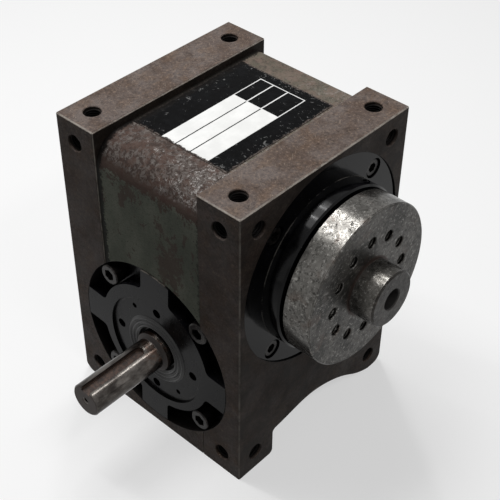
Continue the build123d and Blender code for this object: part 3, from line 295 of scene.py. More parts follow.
def casting_finish():
    """Machined end plates with brown patina; between them a painted neck with rust and bare patches.
    Painted shade darkens the upright faces, the bores and the tapped holes, and the bright worn plate edges
    are also a painted highlight.
    """
    made = Finish("casting_patina_and_paint")
    side_gap = SIDE - abs(made.x)
    end_gap = made.lower(made.y, DEPTH - made.y)
    top_gap = TOP - made.z
    step_gap = PLATE - end_gap
    set_back = made.lower(side_gap, top_gap)
    painted = made.step(step_gap, 0.3 * MM, -0.3 * MM) * made.step(set_back, 0.4 * MM, 0.7 * MM)
    bore_shade_and_oil = bored_inside(made, side_gap, end_gap, top_gap)

    colour = made.mix(painted, patina_tone(made), paint_tone(made))
    edges = plate_edges(made, side_gap, end_gap, top_gap, step_gap)
    broken = made.patches(0.25, 0.6, 9, 6, 0.8, seed=50)
    # Bright worn iron along the plate edges, which is also a painted highlight where chamfers would catch
    # the light.
    worn_and_highlit_edges = edges * broken * (1 - painted)
    colour = made.coat(colour, worn_and_highlit_edges * 0.8, 176, 169, 160)
    # Painted shade with oily iron: the bores, recesses and tapped holes darkened.
    colour = made.coat(colour, bore_shade_and_oil, 26, 24, 23)

    machined = made.noise(0.9, 4, 0.7, seed=5) * 0.3
    made.relief(made.blend(painted, machined, made.noise(2.2, 6, 0.7, seed=61)), 0.3 * MM)
    rough = made.blend(made.patches(0.3, 0.7, 20, 5, 0.6, seed=64), 0.4, 0.56)
    rough = made.blend(painted, rough, 0.6)
    rough = made.blend(worn_and_highlit_edges, rough, 0.36)
    return made.finish(colour, rough, worn_and_highlit_edges * 0.4, 0.05)


def bored_inside(made, side_gap, end_gap, top_gap):
    """1 inside the flange bores, the cover recesses and the tapped holes, which are darkened with painted
    shade and oily iron.
    """
    inside = made.step(made.from_axis(FLANGE_Z), INPUT_BORE_RADIUS + 0.2 * MM, INPUT_BORE_RADIUS - 0.1 * MM)
    from_output = made.distance(made.x, made.z)
    recess = made.step(from_output, COVER_BORE_RADIUS + 0.2 * MM, COVER_BORE_RADIUS - 0.1 * MM)
    inside = made.total(inside, recess * made.step(end_gap, PLATE, PLATE - 1 * MM))
    across = side_gap - HOLE_INSET
    along = end_gap - HOLE_INSET
    upward = made.lower(abs(top_gap - HOLE_INSET), abs(made.z - BASE - HOLE_INSET))
    for first, second, depth in (
        (across, along, top_gap), (across, upward, end_gap), (along, upward, side_gap)
    ):
        hole = made.step(made.distance(first, second), HOLE_RADIUS + 0.4 * MM, HOLE_RADIUS + 0.1 * MM)
        below_mouth = made.step(depth, 0.3 * MM, 2.5 * MM)
        above_bottom = made.step(depth, HOLE_DEPTH + 1 * MM, HOLE_DEPTH)
        inside = made.total(inside, hole * (below_mouth * above_bottom))
    return inside


def patina_tone(made):
    """Brown patina on machined iron: grey and bronze clouds, dark stains, fine bright and dark grain, and
    painted shade that darkens the upright faces, the front face most.
    """
    clouds = made.patches(0.38, 0.62, 26, 6, 0.66, seed=3, bend=0.3)
    tint = made.two_tones(clouds, (84, 71, 64), (104, 95, 91))
    bronze = made.patches(0.48, 0.66, 13, 6, 0.72, (1.8, 1, 1), seed=8, bend=0.5)
    tint = made.coat(tint, bronze * 0.5, 104, 84, 68)
    stains = made.patches(0.5, 0.66, 6, 6, 0.76, seed=10, bend=0.4)
    tint = made.coat(tint, stains * 0.6, 58, 50, 46)
    grain = made.noise(2.1, 6, 0.85, seed=5, bend=0.2)
    tint = made.coat(tint, made.step(grain, 0.52, 0.62) * 0.55, 142, 124, 110)
    tint = made.coat(tint, made.step(grain, 0.48, 0.38) * 0.65, 46, 40, 36)
    specks = made.patches(0.68, 0.73, 1.7, 3, 0.6, seed=12)
    tint = made.coat(tint, specks * 0.7, 196, 180, 162)
    diagonal = made.join((made.x + made.y) * 0.3, (made.x - made.y) * 1.8, made.z)
    rubs = made.patches(0.62, 0.66, 2.4, 4, 0.7, seed=15, where=diagonal, bend=0.5)
    tint = made.coat(tint, rubs * 0.45, 160, 146, 132)
    # Painted shade mixed with patchy oil: upright faces darker than the tops, and the front face darker
    # still.
    upright_shade = made.step(abs(made.upward), 0.7, 0.3)
    oil = made.blend(made.patches(0.35, 0.65, 18, 6, 0.7, seed=18, bend=0.4), 0.05, 0.55)
    oil = made.blend(made.step(made.along, -0.3, -0.7), oil, oil + 0.4)
    return made.coat(tint, upright_shade * oil, 42, 38, 35)


def paint_tone(made):
    """Grey-green paint on the neck, chipped and rusty, worn to the iron on its left corner and top, with
    grime and painted shade along the rear step and a thin dark joint at the front step.
    """
    clouds = made.patches(0.35, 0.65, 22, 5, 0.6, (1, 1, 1.8), seed=21)
    tint = made.two_tones(clouds, (104, 108, 97), (134, 137, 124))
    streaks = made.noise(1.6, 6, 0.78, (1, 1, 0.35), seed=24)
    tint = made.coat(tint, made.step(streaks, 0.5, 0.64) * 0.6, 62, 63, 56)
    tint = made.coat(tint, made.step(streaks, 0.44, 0.32) * 0.4, 156, 158, 146)
    low_part = made.step(made.z, 66 * MM, 10 * MM)
    rust_noise = made.noise(12, 6, 0.7, (1, 1, 1.5), seed=31, bend=0.4)
    rust = made.step(rust_noise - low_part * 0.06, 0.52, 0.555)
    from_patch = made.distance(made.y - RUST_PATCH_Y, (made.z - RUST_PATCH_Z) * 0.55)
    ragged = (made.noise(6, 6, 0.75, seed=29) - 0.5) * (60 * MM)
    rust = made.total(rust, made.step(from_patch + ragged, 11 * MM, 9 * MM))
    tint = made.coat(tint, rust * 0.7, 86, 68, 62)
    chips = made.patches(0.6, 0.64, 3.2, 6, 0.78, (1, 1, 1.5), seed=27)
    tint = made.coat(tint, chips * 0.8, 42, 39, 36)

    wide = made.noise(9, 6, 0.75, seed=33)
    band_edge = (wide - 0.5) * (34 * MM)
    left = made.step(made.x + band_edge * 0.3, -44 * MM, -47 * MM)
    on_top = made.step(made.z, NECK_TOP - 1.5 * MM, NECK_TOP - 0.3 * MM)
    worn_top = on_top * (1 - left)
    mottle = made.noise(3.2, 6, 0.8, seed=36, bend=0.5)
    dull = made.two_tones(made.step(wide, 0.4, 0.6), (92, 86, 76), (112, 97, 88))
    dull = made.coat(dull, made.step(mottle, 0.5, 0.6) * 0.7, 62, 56, 52)
    tint = made.mix(worn_top * 0.9, tint, dull)
    rusty_band = left * made.step(made.z + band_edge, 54 * MM, 57 * MM)
    tint = made.coat(tint, rusty_band * 0.9, 80, 63, 58)
    worn_corner = left * made.step(made.z + band_edge * 0.5, 60 * MM, 66 * MM)
    iron = made.two_tones(made.step(mottle, 0.46, 0.56), (60, 51, 47), (104, 98, 94))
    iron = made.coat(iron, made.patches(0.48, 0.58, 7, 6, 0.75, seed=41, bend=0.3) * 0.75, 82, 65, 58)
    tint = made.mix(worn_corner * 0.92, tint, iron)
    near_front = made.step(made.y, 100 * MM, 38 * MM)
    bare = made.step(made.noise(9, 6, 0.78, seed=38, bend=0.3) + near_front * 0.15, 0.57, 0.65)
    speckle = made.patches(0.5, 0.58, 2, 6, 0.85, seed=39, bend=0.4)
    bare = made.total(worn_corner, worn_top * 0.4) * bare * speckle
    tint = made.coat(tint, bare * 0.85, 176, 172, 168)
    holes = made.patches(0.59, 0.63, 2.8, 6, 0.8, seed=42) * made.total(worn_corner, worn_top)
    tint = made.coat(tint, holes * 0.7, 44, 38, 36)

    # Grime and painted shade in a dark band along the rear step; a thin dark joint line along the front
    # step.
    wander = (made.noise(4, 6, 0.8, seed=44) - 0.5) * (16 * MM)
    rear_step_shade_and_grime = made.step(wander + (DEPTH - PLATE) - made.y, 5 * MM, 3 * MM)
    at_front = made.step(made.y - (wander + PLATE), 1.6 * MM, 0.2 * MM)
    return made.coat(tint, made.total(rear_step_shade_and_grime, at_front * 0.7) * 0.94, 13, 12, 11)


def plate_edges(made, side_gap, end_gap, top_gap, step_gap):
    """Narrow bands along the sharp edges of the plates."""
    gaps = (side_gap, end_gap, top_gap)
    near_side, near_end, near_top = [made.step(gap, 1.1 * MM, 0.5 * MM) for gap in gaps]
    near_step = made.near(step_gap, 0.2 * MM, 0.3 * MM, 0.3 * MM)
    return made.total(
        near_side * near_end * 0.45, near_side * near_top, near_end * near_top,
        near_step * made.total(near_side, near_top) * 0.6,
    )


def flange_black_finish():
    """Blackened turned steel, oily, with dust and light scuffs, a painted highlight on the edge of the
    flange's bore and on the cap's edge, and a dark gap round the cap.
    """
    made = Finish("black_oxide")
    dust = made.patches(0.4, 0.75, 9, 5, 0.65, seed=4)
    colour = made.two_tones(dust, (12, 12, 15), (28, 27, 28))
    scuffs = made.patches(0.61, 0.68, 2.4, 6, 0.78, (1, 1, 1.6), seed=7, bend=0.6)
    colour = made.coat(colour, scuffs * 0.3, 88, 86, 84)
    specks = made.patches(0.7, 0.75, 1.4, 2, 0.5, seed=9)
    colour = made.coat(colour, specks * 0.6, 150, 144, 136)
    # Painted highlight along the edge of the flange's bore.
    rim = made.near(made.from_axis(FLANGE_Z), INPUT_BORE_RADIUS - 0.4 * MM, 0.3 * MM, 0.3 * MM)
    rim = rim * made.patches(0.42, 0.6, 12, 5, 0.75, seed=12)
    colour = made.coat(colour, rim * 0.7, 126, 120, 112)
    from_shaft = made.from_axis(INPUT_Z)
    cap_gap = made.near(from_shaft, CAP_RADIUS - 0.3 * MM, 0.4 * MM, 0.3 * MM)
    colour = made.coat(colour, cap_gap * 0.8, 3, 3, 3)
    # Painted highlight on the cap's edge, broken up by noise.
    cap_edge_highlight = made.near(from_shaft, CAP_RADIUS - 1.6 * MM, 0.4 * MM, 0.4 * MM)
    cap_edge_highlight = cap_edge_highlight * made.patches(0.4, 0.62, 14, 5, 0.7, seed=13)
    colour = made.coat(colour, cap_edge_highlight * 0.4, 104, 101, 98)
    rough = made.blend(made.patches(0.35, 0.65, 14, 4, 0.6, (1, 1, 2.2), seed=14), 0.16, 0.32)
    made.relief(made.noise(0.9, 3, 0.6, seed=17), 0.02 * MM)
    return made.finish(colour, rough, 0.0, 0.07)


def cover_black_finish():
    """Glossy oiled black of the covers, with dust specks and a light line at the foot of the boss.

    The bump rises evenly along the depth, which tips the boss's shading forward to catch the lamps.
    """
    made = Finish("oiled_black")
    dust = made.patches(0.4, 0.75, 7, 5, 0.7, seed=4)
    colour = made.two_tones(dust, (6, 6, 8), (20, 20, 23))
    specks = made.patches(0.69, 0.74, 1.3, 3, 0.6, seed=9)
    colour = made.coat(colour, specks * 0.6, 140, 136, 130)
    scuffs = made.patches(0.62, 0.7, 2, 6, 0.8, (2, 0.5, 2), seed=7, bend=0.6)
    colour = made.coat(colour, scuffs * 0.3, 80, 80, 82)
    # A light line at the foot of the boss.
    at_boss = made.near(made.distance(made.x, made.z), BOSS_RADIUS, 0.25 * MM, 0.3 * MM)
    foot = at_boss * made.near(made.y, COVER_FACE, 0.4 * MM, 0.3 * MM)
    foot = foot * made.patches(0.4, 0.55, 16, 5, 0.7, seed=11)
    colour = made.coat(colour, foot * 0.7, 120, 116, 110)
    rough = made.blend(made.patches(0.35, 0.7, 10, 5, 0.7, (1, 0.6, 1), seed=14), 0.09, 0.18)
    made.relief(made.y * (0.14 / MM), 1 * MM)
    return made.finish(colour, rough, 0.0, 0.12)


def output_steel_finish():
    """Ground steel flange and nose: dark with age, pitted and scratched, rust at the nose's foot. Painted
    light lightens the rim, the nose's side and the edge of the face; painted shade darkens the nose's end,
    the bore and what lies behind the flange.

    The bump rises slightly along the depth, which tips the rim's and the nose's shading forward.
    """
    made = Finish("worn_ground_steel")
    radius = made.distance(made.x, made.z)
    on_side = made.step(abs(made.along), 0.7, 0.3)
    rim_painted_light = made.step(radius, DISC_RADIUS - 1 * MM, DISC_RADIUS - 0.5 * MM) * on_side
    on_nose = made.step(made.y, DISC_FACE - 0.2 * MM, DISC_FACE - 0.6 * MM)
    stain = made.patches(0.38, 0.62, 15, 6, 0.72, seed=2, bend=0.5)
    colour = made.two_tones(stain, (40, 39, 37), (80, 78, 75))
    # Painted light: the rim lightened.
    colour = made.coat(colour, rim_painted_light * 0.3, 124, 122, 118)
    mottle = made.noise(3, 6, 0.78, seed=6, bend=0.4)
    colour = made.coat(colour, made.step(mottle, 0.5, 0.58) * 0.6, 46, 45, 42)
    bright = made.patches(0.54, 0.6, 2.6, 6, 0.78, seed=15, bend=0.4)
    colour = made.coat(colour, bright * 0.6, 142, 140, 136)
    strokes = made.join((made.x + made.z) * 0.35, made.y, (made.x - made.z) * 1.5)
    scratches = made.patches(0.57, 0.6, 3, 6, 0.78, seed=11, where=strokes, bend=0.5)
    crossing = made.patches(0.62, 0.65, 2, 6, 0.8, (0.7, 0.7, 2), seed=13, bend=1.2)
    scratches = made.total(scratches * 0.75, crossing)
    colour = made.coat(colour, scratches * 0.8, 24, 23, 22)
    pits = made.patches(0.64, 0.67, 1.8, 5, 0.7, seed=16)
    colour = made.coat(colour, pits * 0.85, 18, 17, 16)
    colour = made.coat(colour, made.patches(0.54, 0.7, 13, 5, 0.65, seed=19) * 0.35, 88, 74, 66)

    # Painted shade on the nose's end face and painted light on the nose's side.
    end_face = on_nose * (1 - on_side)
    colour = made.coat(colour, end_face * 0.6, 34, 32, 30)
    colour = made.coat(colour, on_nose * on_side * 0.2, 120, 117, 112)
    foot = made.near(radius, NOSE_RADIUS, 0.9 * MM, 1.3 * MM)
    foot = foot * made.step(made.y, DISC_FACE - 2 * MM, DISC_FACE)
    foot = foot * made.patches(0.2, 0.4, 3, 4, 0.7, seed=23)
    colour = made.coat(colour, foot * 0.9, 50, 34, 27)
    # Painted shade inside the bore.
    bore_shade = made.step(radius, OUTPUT_BORE_RADIUS + 0.7 * MM, OUTPUT_BORE_RADIUS - 0.1 * MM)
    colour = made.coat(colour, bore_shade, 16, 14, 13)
    # Painted shade on everything behind the flange's back face.
    behind = made.step(made.y, DISC_BACK - 1.1 * MM, DISC_BACK - 0.4 * MM)
    colour = made.coat(colour, behind, 24, 23, 22)
    # Painted highlight along the edge of the flange's face.
    rim_edge_highlight = made.near(radius, DISC_RADIUS, 0.4 * MM, 0.4 * MM)
    rim_edge_highlight = rim_edge_highlight * made.near(made.y, DISC_FACE, 0.4 * MM, 0.4 * MM)
    rim_edge_highlight = rim_edge_highlight * made.patches(0.4, 0.65, 7, 5, 0.8, seed=25)
    colour = made.coat(colour, rim_edge_highlight * 0.5, 170, 168, 164)

    turning_marks = made.noise(0.9, 3, 0.6, seed=7, where=made.join(radius, 0, 0))
    rough = made.blend(on_side, 0.38, 0.17) + made.step(mottle, 0.45, 0.6) * 0.1
    rough = rough + turning_marks * 0.05
    rough = made.blend(made.total(scratches, pits, foot, bore_shade), rough, 0.6)
    depth = 0.05 * MM
    height = mottle * 0.1 - made.total(scratches, pits)
    made.relief(height + made.y * (0.08 / depth), depth)
    return made.finish(colour, rough, made.blend(made.total(foot, bore_shade), 0.95, 0.3), 0.5)


def input_steel_finish():
    """Ground input shaft, tarnished towards the housing, with a rusty keyway floor and painted shade on the
    cone step.

    The bump rises evenly along the shaft, which tips its shading towards the lamps.
    """
    made = Finish("tarnished_ground_steel")
    tarnish = made.patches(0.36, 0.64, 9, 5, 0.66, (2.2, 1, 1), seed=4, bend=0.4)
    colour = made.two_tones(tarnish, (44, 41, 39), (98, 94, 90))
    blotches = made.noise(2.6, 6, 0.78, (2, 1, 1), seed=8)
    colour = made.coat(colour, made.step(blotches, 0.48, 0.66) * 0.6, 58, 52, 48)
    near_house = made.step(made.x, SHAFT_END + 42 * MM, SHAFT_END + 60 * MM)
    rust = made.patches(0.6, 0.42, 5, 5, 0.7, seed=12)
    colour = made.coat(colour, rust * near_house * 0.7, 82, 58, 46)
    # Painted shade on the cone step.
    cone_step_shade = made.near(made.x, SHAFT_CONE, 1.1 * MM, 0.2 * MM)
    colour = made.coat(colour, cone_step_shade * 0.9, 26, 22, 20)
    below_surface = made.step(made.from_axis(INPUT_Z), 11.2 * MM, 10.2 * MM)
    in_length = made.near(made.x, SHAFT_END + KEYWAY_HALF_LENGTH, KEYWAY_HALF_LENGTH, 1 * MM)
    floor_height = INPUT_Z + KEYWAY_FLOOR_HEIGHT
    keyway = below_surface * in_length * made.step(made.z, floor_height - 1 * MM, floor_height)
    crust = made.patches(0.38, 0.64, 2.2, 5, 0.75, seed=16)
    colour = made.mix(keyway, colour, made.two_tones(crust, (34, 25, 21), (84, 65, 55)))
    end_face = made.step(made.x, SHAFT_END + 0.5 * MM, SHAFT_END + 0.1 * MM) * 0.88
    colour = made.coat(colour, end_face, 46, 39, 36)

    rough = made.blend(made.step(blotches, 0.4, 0.66), 0.12, 0.26)
    rough = made.blend(made.total(keyway, end_face, cone_step_shade), rough, 0.7)
    depth = 0.05 * MM
    height = blotches * 0.2 + keyway * made.noise(1.5, 5, 0.75, seed=18)
    made.relief(height + made.x * (0.2 / depth), depth)
    metal = made.blend(made.total(keyway, cone_step_shade, end_face * 0.5), 0.95, 0.2)
    return made.finish(colour, rough, metal, 0.5)


def screw_finish():
    """Blackened screws, lightly mottled."""
    made = Finish("blackened_screws")
    grain = made.noise(2.2, 5, 0.75, seed=2)
    colour = made.two_tones(made.step(grain, 0.42, 0.64), (18, 17, 17), (52, 49, 47))
    made.relief(made.noise(0.8, 3, 0.6, seed=5), 0.04 * MM)
    return made.finish(colour, made.blend(made.step(grain, 0.35, 0.65), 0.28, 0.46), 0.8, 0.3)


def rubber_finish():
    """Dull black seal rubber with a dusty bloom."""
    made = Finish("seal_rubber")
    bloom = made.noise(4, 4, 0.6, seed=3)
    colour = made.two_tones(made.step(bloom, 0.42, 0.7), (12, 12, 13), (36, 35, 34))
    made.relief(made.noise(0.7, 3, 0.6, seed=6), 0.03 * MM)
    return made.finish(colour, made.blend(bloom, 0.22, 0.4), 0.0, 0.3)


def bright_steel_finish():
    """Plain ground steel of the running parts inside."""
    made = Finish("plain_bright_steel")
    grain = made.noise(6, 5, 0.65, seed=2)
    colour = made.two_tones(made.step(grain, 0.36, 0.66), (128, 124, 116), (170, 167, 160))
    made.relief(made.noise(1, 3, 0.6, seed=5), 0.02 * MM)
    return made.finish(colour, made.blend(made.step(grain, 0.3, 0.7), 0.4, 0.28), 0.95, 0.5)


def plug_finish():
    """Zinc-plated oil fittings, dulled, with dark oily dirt."""
    made = Finish("dulled_zinc")
    grain = made.noise(4, 6, 0.75, seed=2)
    colour = made.two_tones(made.step(grain, 0.4, 0.62), (74, 71, 66), (118, 114, 106))
    dirt = made.patches(0.52, 0.6, 3, 6, 0.8, seed=9)
    colour = made.coat(colour, dirt * 0.8, 36, 32, 28)
    rough = made.blend(made.step(grain, 0.3, 0.7), 0.46, 0.34)
    made.relief(made.noise(1, 3, 0.6, seed=5), 0.04 * MM)
    return made.finish(colour, rough, made.blend(dirt, 0.9, 0.2), 0.4)


def glass_finish():
    """Sight glass with an amber tint of oil behind it."""
    made = Finish("sight_glass")
    level = made.patches(0.4, 0.6, 5, 2, 0.5, seed=1)
    made.shader.inputs["Coat Weight"].default_value = 1.0
    made.shader.inputs["Coat Roughness"].default_value = 0.05
    return made.finish(made.two_tones(level, (96, 78, 40), (132, 112, 64)), 0.16, 0.0, 0.5)


def label_finish():
    """Printed foil: black margins, a white field in three rows and three black cells, worn at its edges,
    with grime and painted shade along its rear edge.
    """
    made = Finish("blank_label_print")
    wobble = (made.noise(3, 3, 0.6, seed=2) - 0.5) * (0.5 * MM)
    across, along = made.x + wobble, made.y + wobble

    def box(left, right, low, high):
        in_width = made.near(across, (left + right) / 2, (right - left) / 2, PRINT_SOFTNESS)
        return in_width * made.near(along, (low + high) / 2, (high - low) / 2, PRINT_SOFTNESS)

    rows = made.total(
        *[made.near(along, divider, LABEL_LINE / 2, PRINT_SOFTNESS) for divider in LABEL_DIVIDERS]
    )
    white = box(LABEL_LOW.x - MM, LABEL_CELLS, LABEL_FIELD_LOW, LABEL_FIELD_HIGH) * (1 - rows)
    outer = box(LABEL_CELLS, LABEL_FIELD_END, LABEL_FIELD_LOW, LABEL_FIELD_HIGH)
    inner = box(LABEL_CELLS + LABEL_LINE, LABEL_FIELD_END - LABEL_LINE,
                LABEL_FIELD_LOW + LABEL_LINE, LABEL_FIELD_HIGH - LABEL_LINE)
    printed = made.total(white, outer * (1 - inner), outer * rows)

    rear_gap = LABEL_HIGH.y - made.y
    side_gap = made.lower(made.x - LABEL_LOW.x, LABEL_HIGH.x - made.x)
    edge_gap = made.lower(side_gap, made.lower(made.y - LABEL_LOW.y, rear_gap))
    tear = (made.noise(4, 6, 0.8, seed=17) - 0.36) * (9 * MM)
    torn = made.step(tear - edge_gap, -0.1 * MM, 0.2 * MM)

    black = made.two_tones(made.patches(0.4, 0.7, 8, 5, 0.65, seed=7), (2, 2, 3), (10, 11, 13))
    near_edge = made.step(edge_gap, 15 * MM, 2 * MM)
    scuffs = made.step(made.noise(4.2, 5, 0.72, seed=11, bend=1) + near_edge * 0.05, 0.62, 0.68)
    black = made.coat(black, scuffs * 0.75, 118, 118, 117)
    faded = made.patches(0.35, 0.7, 12, 4, 0.6, seed=9)
    colour = made.mix(printed, black, made.two_tones(faded, (232, 232, 230), (244, 244, 242)))
    colour = made.coat(colour, made.patches(0.72, 0.78, 2.5, 3, 0.6, seed=13) * 0.7, 92, 62, 46)
    metal_grain = made.patches(0.45, 0.6, 1.6, 5, 0.8, seed=19)
    colour = made.mix(torn, colour, made.two_tones(metal_grain, (50, 44, 41), (104, 96, 91)))
    # Grime and painted shade along the rear edge, next to the rear step.
    dirt = made.step(rear_gap - tear * 1.4, 4 * MM, 1 * MM)
    colour = made.coat(colour, dirt * 0.85, 17, 15, 14)

    made.relief(made.noise(5, 4, 0.55, seed=21) - torn * 0.8, 0.25 * MM)
    rough = made.blend(made.total(torn, dirt, printed * 0.6), 0.16, 0.5)
    return made.finish(colour, rough, 0.0, 0.03)


def floor_finish():
    """Pale matt floor; it looks pale in reflections too, and gives the object's sides little light."""
    made = Finish("pale_floor")
    seen = made.seen()
    made.shader.inputs["Emission Color"].default_value = WHITE
    made.put(made.shader.inputs["Emission Strength"], seen * FLOOR_GLOW)
    return made.finish(made.mix(seen, FLOOR_LIT, FLOOR_SEEN), 0.9, 0.0, 0.0)


def wrapped_faces(rows, columns):
    """Corner numbers of the quads of a grid of points whose last column joins its first."""
    row, column = np.meshgrid(np.arange(rows - 1), np.arange(columns), indexing="ij")
    following = (column + 1) % columns
    corners = (row * columns + column, row * columns + following,
               (row + 1) * columns + following, (row + 1) * columns + column)
    return np.stack([corner.ravel() for corner in corners], axis=1)


def mesh_piece(name, points, faces, material, body):
    """A smooth mesh that rides on a body of the gearbox."""
    mesh = bpy.data.meshes.new(name)
    mesh.from_pydata(points.reshape(-1, 3).tolist(), [], faces.tolist())
    mesh.validate()
    mesh.polygons.foreach_set("use_smooth", np.ones(len(mesh.polygons), bool))
    piece = bpy.data.objects.new(name, mesh)
    bpy.context.scene.collection.objects.link(piece)
    piece.data.materials.append(material)
    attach(piece, body)


def thread_points(radius, pitch, height, start, length, steps):
    """Ridge of an internal thread along -Z.

    At angle t the four corners of its section lie at the height -start - pitch t / 2 pi + offset. Two
    of them are just inside the wall, at the hole's radius, and two on the crest, at the radius less
    the ridge's height. The ridge fades out over half a turn at each end.
    """
    turns = length / pitch
    angle = np.linspace(0, 2 * pi * turns, int(turns * steps) + 1)[:, None]
    fade = np.clip(np.minimum(angle, angle[-1] - angle) / pi, 0.05, 1)
    crest = radius - height * fade
    wall = np.full_like(crest, radius + 0.1 * MM)
    radii = np.hstack([wall, crest, crest, wall])
    offsets = pitch * fade * np.array([[0.42, 0.07, -0.07, -0.42]])
    heights = -start - pitch * angle / (2 * pi) + offsets
    return np.stack([radii * np.cos(angle), radii * np.sin(angle), heights], axis=2)


def thread_faces(rows):
    """Sides of the ridge and its two small ends, turned to face out of it."""
    last = 4 * (rows - 1)
    ends = np.array([[3, 2, 1, 0], [last, last + 1, last + 2, last + 3]])
    return np.vstack([wrapped_faces(rows, 4), ends])[:, ::-1]


def threads(name, places, thread, material, body):
    """The same ridge in each hole; a place is the mouth's centre and the way out of the hole."""
    ridge = thread_points(*thread)
    faces = thread_faces(len(ridge))
    ridge = ridge.reshape(-1, 3)
    points, quads = [], []
    for mouth, outwards in places:
        turn = np.array(Vector(outwards).to_track_quat("Z", "Y").to_matrix())
        points.append(ridge @ turn.T + np.array(mouth))
        quads.append(faces + len(quads) * len(ridge))
    mesh_piece(name, np.vstack(points), np.vstack(quads), material, body)


def seal_ridge_points(inner, outer, ridges, height, steps):
    """Rubber ridges round the input shaft: a closed profile turned about the shaft's axis.

    Along the profile the radius r goes evenly from inner to outer, and the rise is a low floor plus the
    height times the square of the sine of the phase, which gains pi on each ridge. The profile comes
    back under the face of the seal. At angle t a point lies at x = face - rise, y = middle + r cos t
    and z = axis + r sin t.
    """
    radius = np.linspace(inner, outer, 16 * ridges + 1)
    phase = pi * ridges * (radius - inner) / (outer - inner)
    top = 0.12 * MM + height * np.sin(phase) ** 2
    profile = np.vstack([np.stack([radius, top], axis=1), [[outer, -0.2 * MM], [inner, -0.2 * MM]]])
    angle = np.linspace(0, 2 * pi, steps, endpoint=False)
    ring, turn = np.meshgrid(profile[:, 0], angle, indexing="ij")
    rise = np.broadcast_to(profile[:, 1:], ring.shape)
    return np.stack([CAP_FACE - rise, MID_Y + ring * np.cos(turn), INPUT_Z + ring * np.sin(turn)], axis=2)


def seal_ridges(material):
    """The ridged face of the input seal, which the shaft comes out of; its last row joins its first."""
    points = seal_ridge_points(
        SEAL_RIDGES_INNER, SEAL_RIDGES_OUTER, SEAL_RIDGE_COUNT, SEAL_RIDGE_HEIGHT, SEAL_STEPS
    )
    rows, columns = points.shape[:2]
    faces = wrapped_faces(rows + 1, columns) % (rows * columns)
    mesh_piece("input_seal_ridges", points, faces, material, "housing_assembly")


def corner_hole_places():
    """Mouth and way out of the tapped holes of the front, rear, top, left and right faces."""
    across = SIDE - HOLE_INSET
    high, low = TOP - HOLE_INSET, BASE + HOLE_INSET
    near, far = HOLE_INSET, DEPTH - HOLE_INSET
    places = []
    for x in (-across, across):
        places += [((x, 0, z), (0, -1, 0)) for z in (high, low)]
        places += [((x, DEPTH, z), (0, 1, 0)) for z in (high, low)]
        places += [((x, y, TOP), (0, 0, 1)) for y in (near, far)]
    for y in (near, far):
        places += [((-SIDE, y, z), (-1, 0, 0)) for z in (high, low)]
        places += [((SIDE, y, z), (1, 0, 0)) for z in (high, low)]
    return places


def flange_hole_places():
    """Mouth and way out of the tapped holes of the output flange, evenly round their circle."""
    angles = 2 * pi / FLANGE_HOLE_COUNT * np.arange(FLANGE_HOLE_COUNT)
    across, upward = FLANGE_HOLE_CIRCLE * np.cos(angles), FLANGE_HOLE_CIRCLE * np.sin(angles)
    return [((x, DISC_FACE, z), (0, -1, 0)) for x, z in zip(across, upward)]


def dress_nodes(finishes):
    """Gives every node of the model the finish of its material slot."""
    for row in frame["record"]["subparts"]:
        piece = nodes[row["node"]]
        material = finishes[row["material_slot"]]
        piece.data.materials.clear()
        piece.data.materials.append(material)


def softbox(name, place, target, width, length, watts):
    """A rectangular lamp that faces its target."""
    lamp = bpy.data.lights.new(name, "AREA")
    lamp.shape = "RECTANGLE"
    lamp.size, lamp.size_y = width, length
    lamp.energy = watts
    holder = bpy.data.objects.new(name, lamp)
    holder.location = place
    holder.rotation_euler = (Vector(target) - Vector(place)).to_track_quat("-Z", "Y").to_euler()
    bpy.context.scene.collection.objects.link(holder)


def light_the_scene():
    """A softbox and two tubes overhead, a lamp for the input shaft, a faint fill and a pale backdrop."""
    softbox("overhead_softbox", (0.02, 0.5, 1.12), (-0.02, 0.05, 0), 0.85, 0.65, 9)
    softbox("softbox_left_tube", (-0.19, 0.5, 1.09), (-0.06, 0.05, 0), 0.03, 0.7, 2.8)
    softbox("softbox_right_tube", (0.4, 0.5, 1.09), (0, 0.05, 0), 0.03, 0.7, 2.8)
    softbox("shaft_tube", (-0.1, -0.6, 0.95), (-0.11, 0.08, -0.08), 0.5, 0.12, 1.8)
    world = bpy.data.worlds.new("pale_studio")
    bpy.context.scene.world = world
    world.use_nodes = True
    sky = Nodes(world.node_tree)
    fill = sky.node("ShaderNodeBackground")
    sky.fill(fill.inputs[:2], (FILL_COLOUR, FILL_STRENGTH))
    backdrop = sky.node("ShaderNodeBackground")
    sky.fill(backdrop.inputs[:2], (WHITE, 1.0))
    either = sky.node("ShaderNodeMixShader")
    sky.fill(either.inputs, (sky.seen(), fill.outputs[0], backdrop.outputs[0]))
    sky.put(sky.node("ShaderNodeOutputWorld").inputs["Surface"], either.outputs[0])


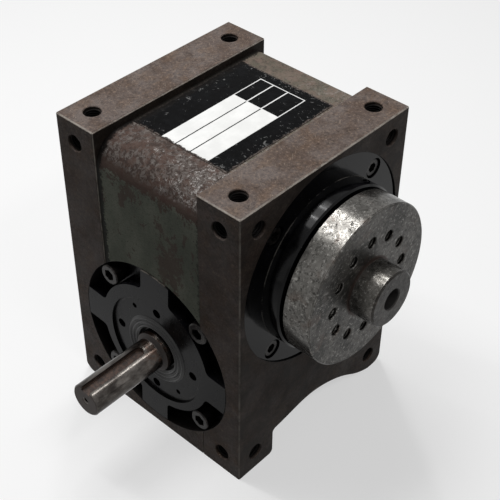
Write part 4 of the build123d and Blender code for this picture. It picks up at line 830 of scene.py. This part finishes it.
def lay_the_floor():
    """A round floor under the feet: a ring of quads round a small closed middle."""
    angles = np.linspace(0, 2 * pi, FLOOR_STEPS, endpoint=False)
    base = np.full(FLOOR_STEPS, BASE)
    rings = [
        np.stack([radius * np.cos(angles), MID_Y + radius * np.sin(angles), base], axis=1)
        for radius in FLOOR_RADII
    ]
    mesh = bpy.data.meshes.new("floor")
    faces = wrapped_faces(2, FLOOR_STEPS).tolist() + [list(range(FLOOR_STEPS))]
    mesh.from_pydata(np.vstack(rings).tolist(), [], faces)
    mesh.materials.append(floor_finish())
    floor = bpy.data.objects.new("floor", mesh)
    bpy.context.scene.collection.objects.link(floor)


def place_the_camera():
    """The photograph's viewpoint, direction and lens."""
    look = CAMERA_LOOK.normalized()
    right = look.cross(CAMERA_UP).normalized()
    up = right.cross(look)
    turn = Matrix((right, up, -look)).transposed()
    camera = bpy.data.cameras.new("camera")
    camera.sensor_width = SENSOR_WIDTH_MM
    camera.lens = SENSOR_WIDTH_MM * FOCAL_PIXELS / FRAME_PIXELS
    camera.clip_start = 0.01
    holder = bpy.data.objects.new("camera", camera)
    holder.matrix_world = Matrix.Translation(CAMERA_PLACE) @ turn.to_4x4()
    bpy.context.scene.collection.objects.link(holder)
    bpy.context.scene.camera = holder


casting = casting_finish()
output_steel = output_steel_finish()
rubber = rubber_finish()
bright_steel = bright_steel_finish()
dress_nodes({
    "body_casting": casting,
    "cover_iron": cover_black_finish(),
    "flange_black": flange_black_finish(),
    "screw_black": screw_finish(),
    "shaft_steel": input_steel_finish(),
    "output_steel": output_steel,
    "seal_rubber": rubber,
    "plate_black": label_finish(),
    "plug_steel": plug_finish(),
    "window_glass": glass_finish(),
    "cam_steel": bright_steel,
    "bearing_steel": bright_steel,
})
threads("corner_hole_threads", corner_hole_places(), CORNER_THREAD, casting,
        "housing_assembly")
threads("flange_hole_threads", flange_hole_places(), FLANGE_THREAD, output_steel,
        "output_assembly")
seal_ridges(rubber)
place_the_camera()
light_the_scene()
lay_the_floor()
bpy.context.scene.view_settings.view_transform = "Standard"
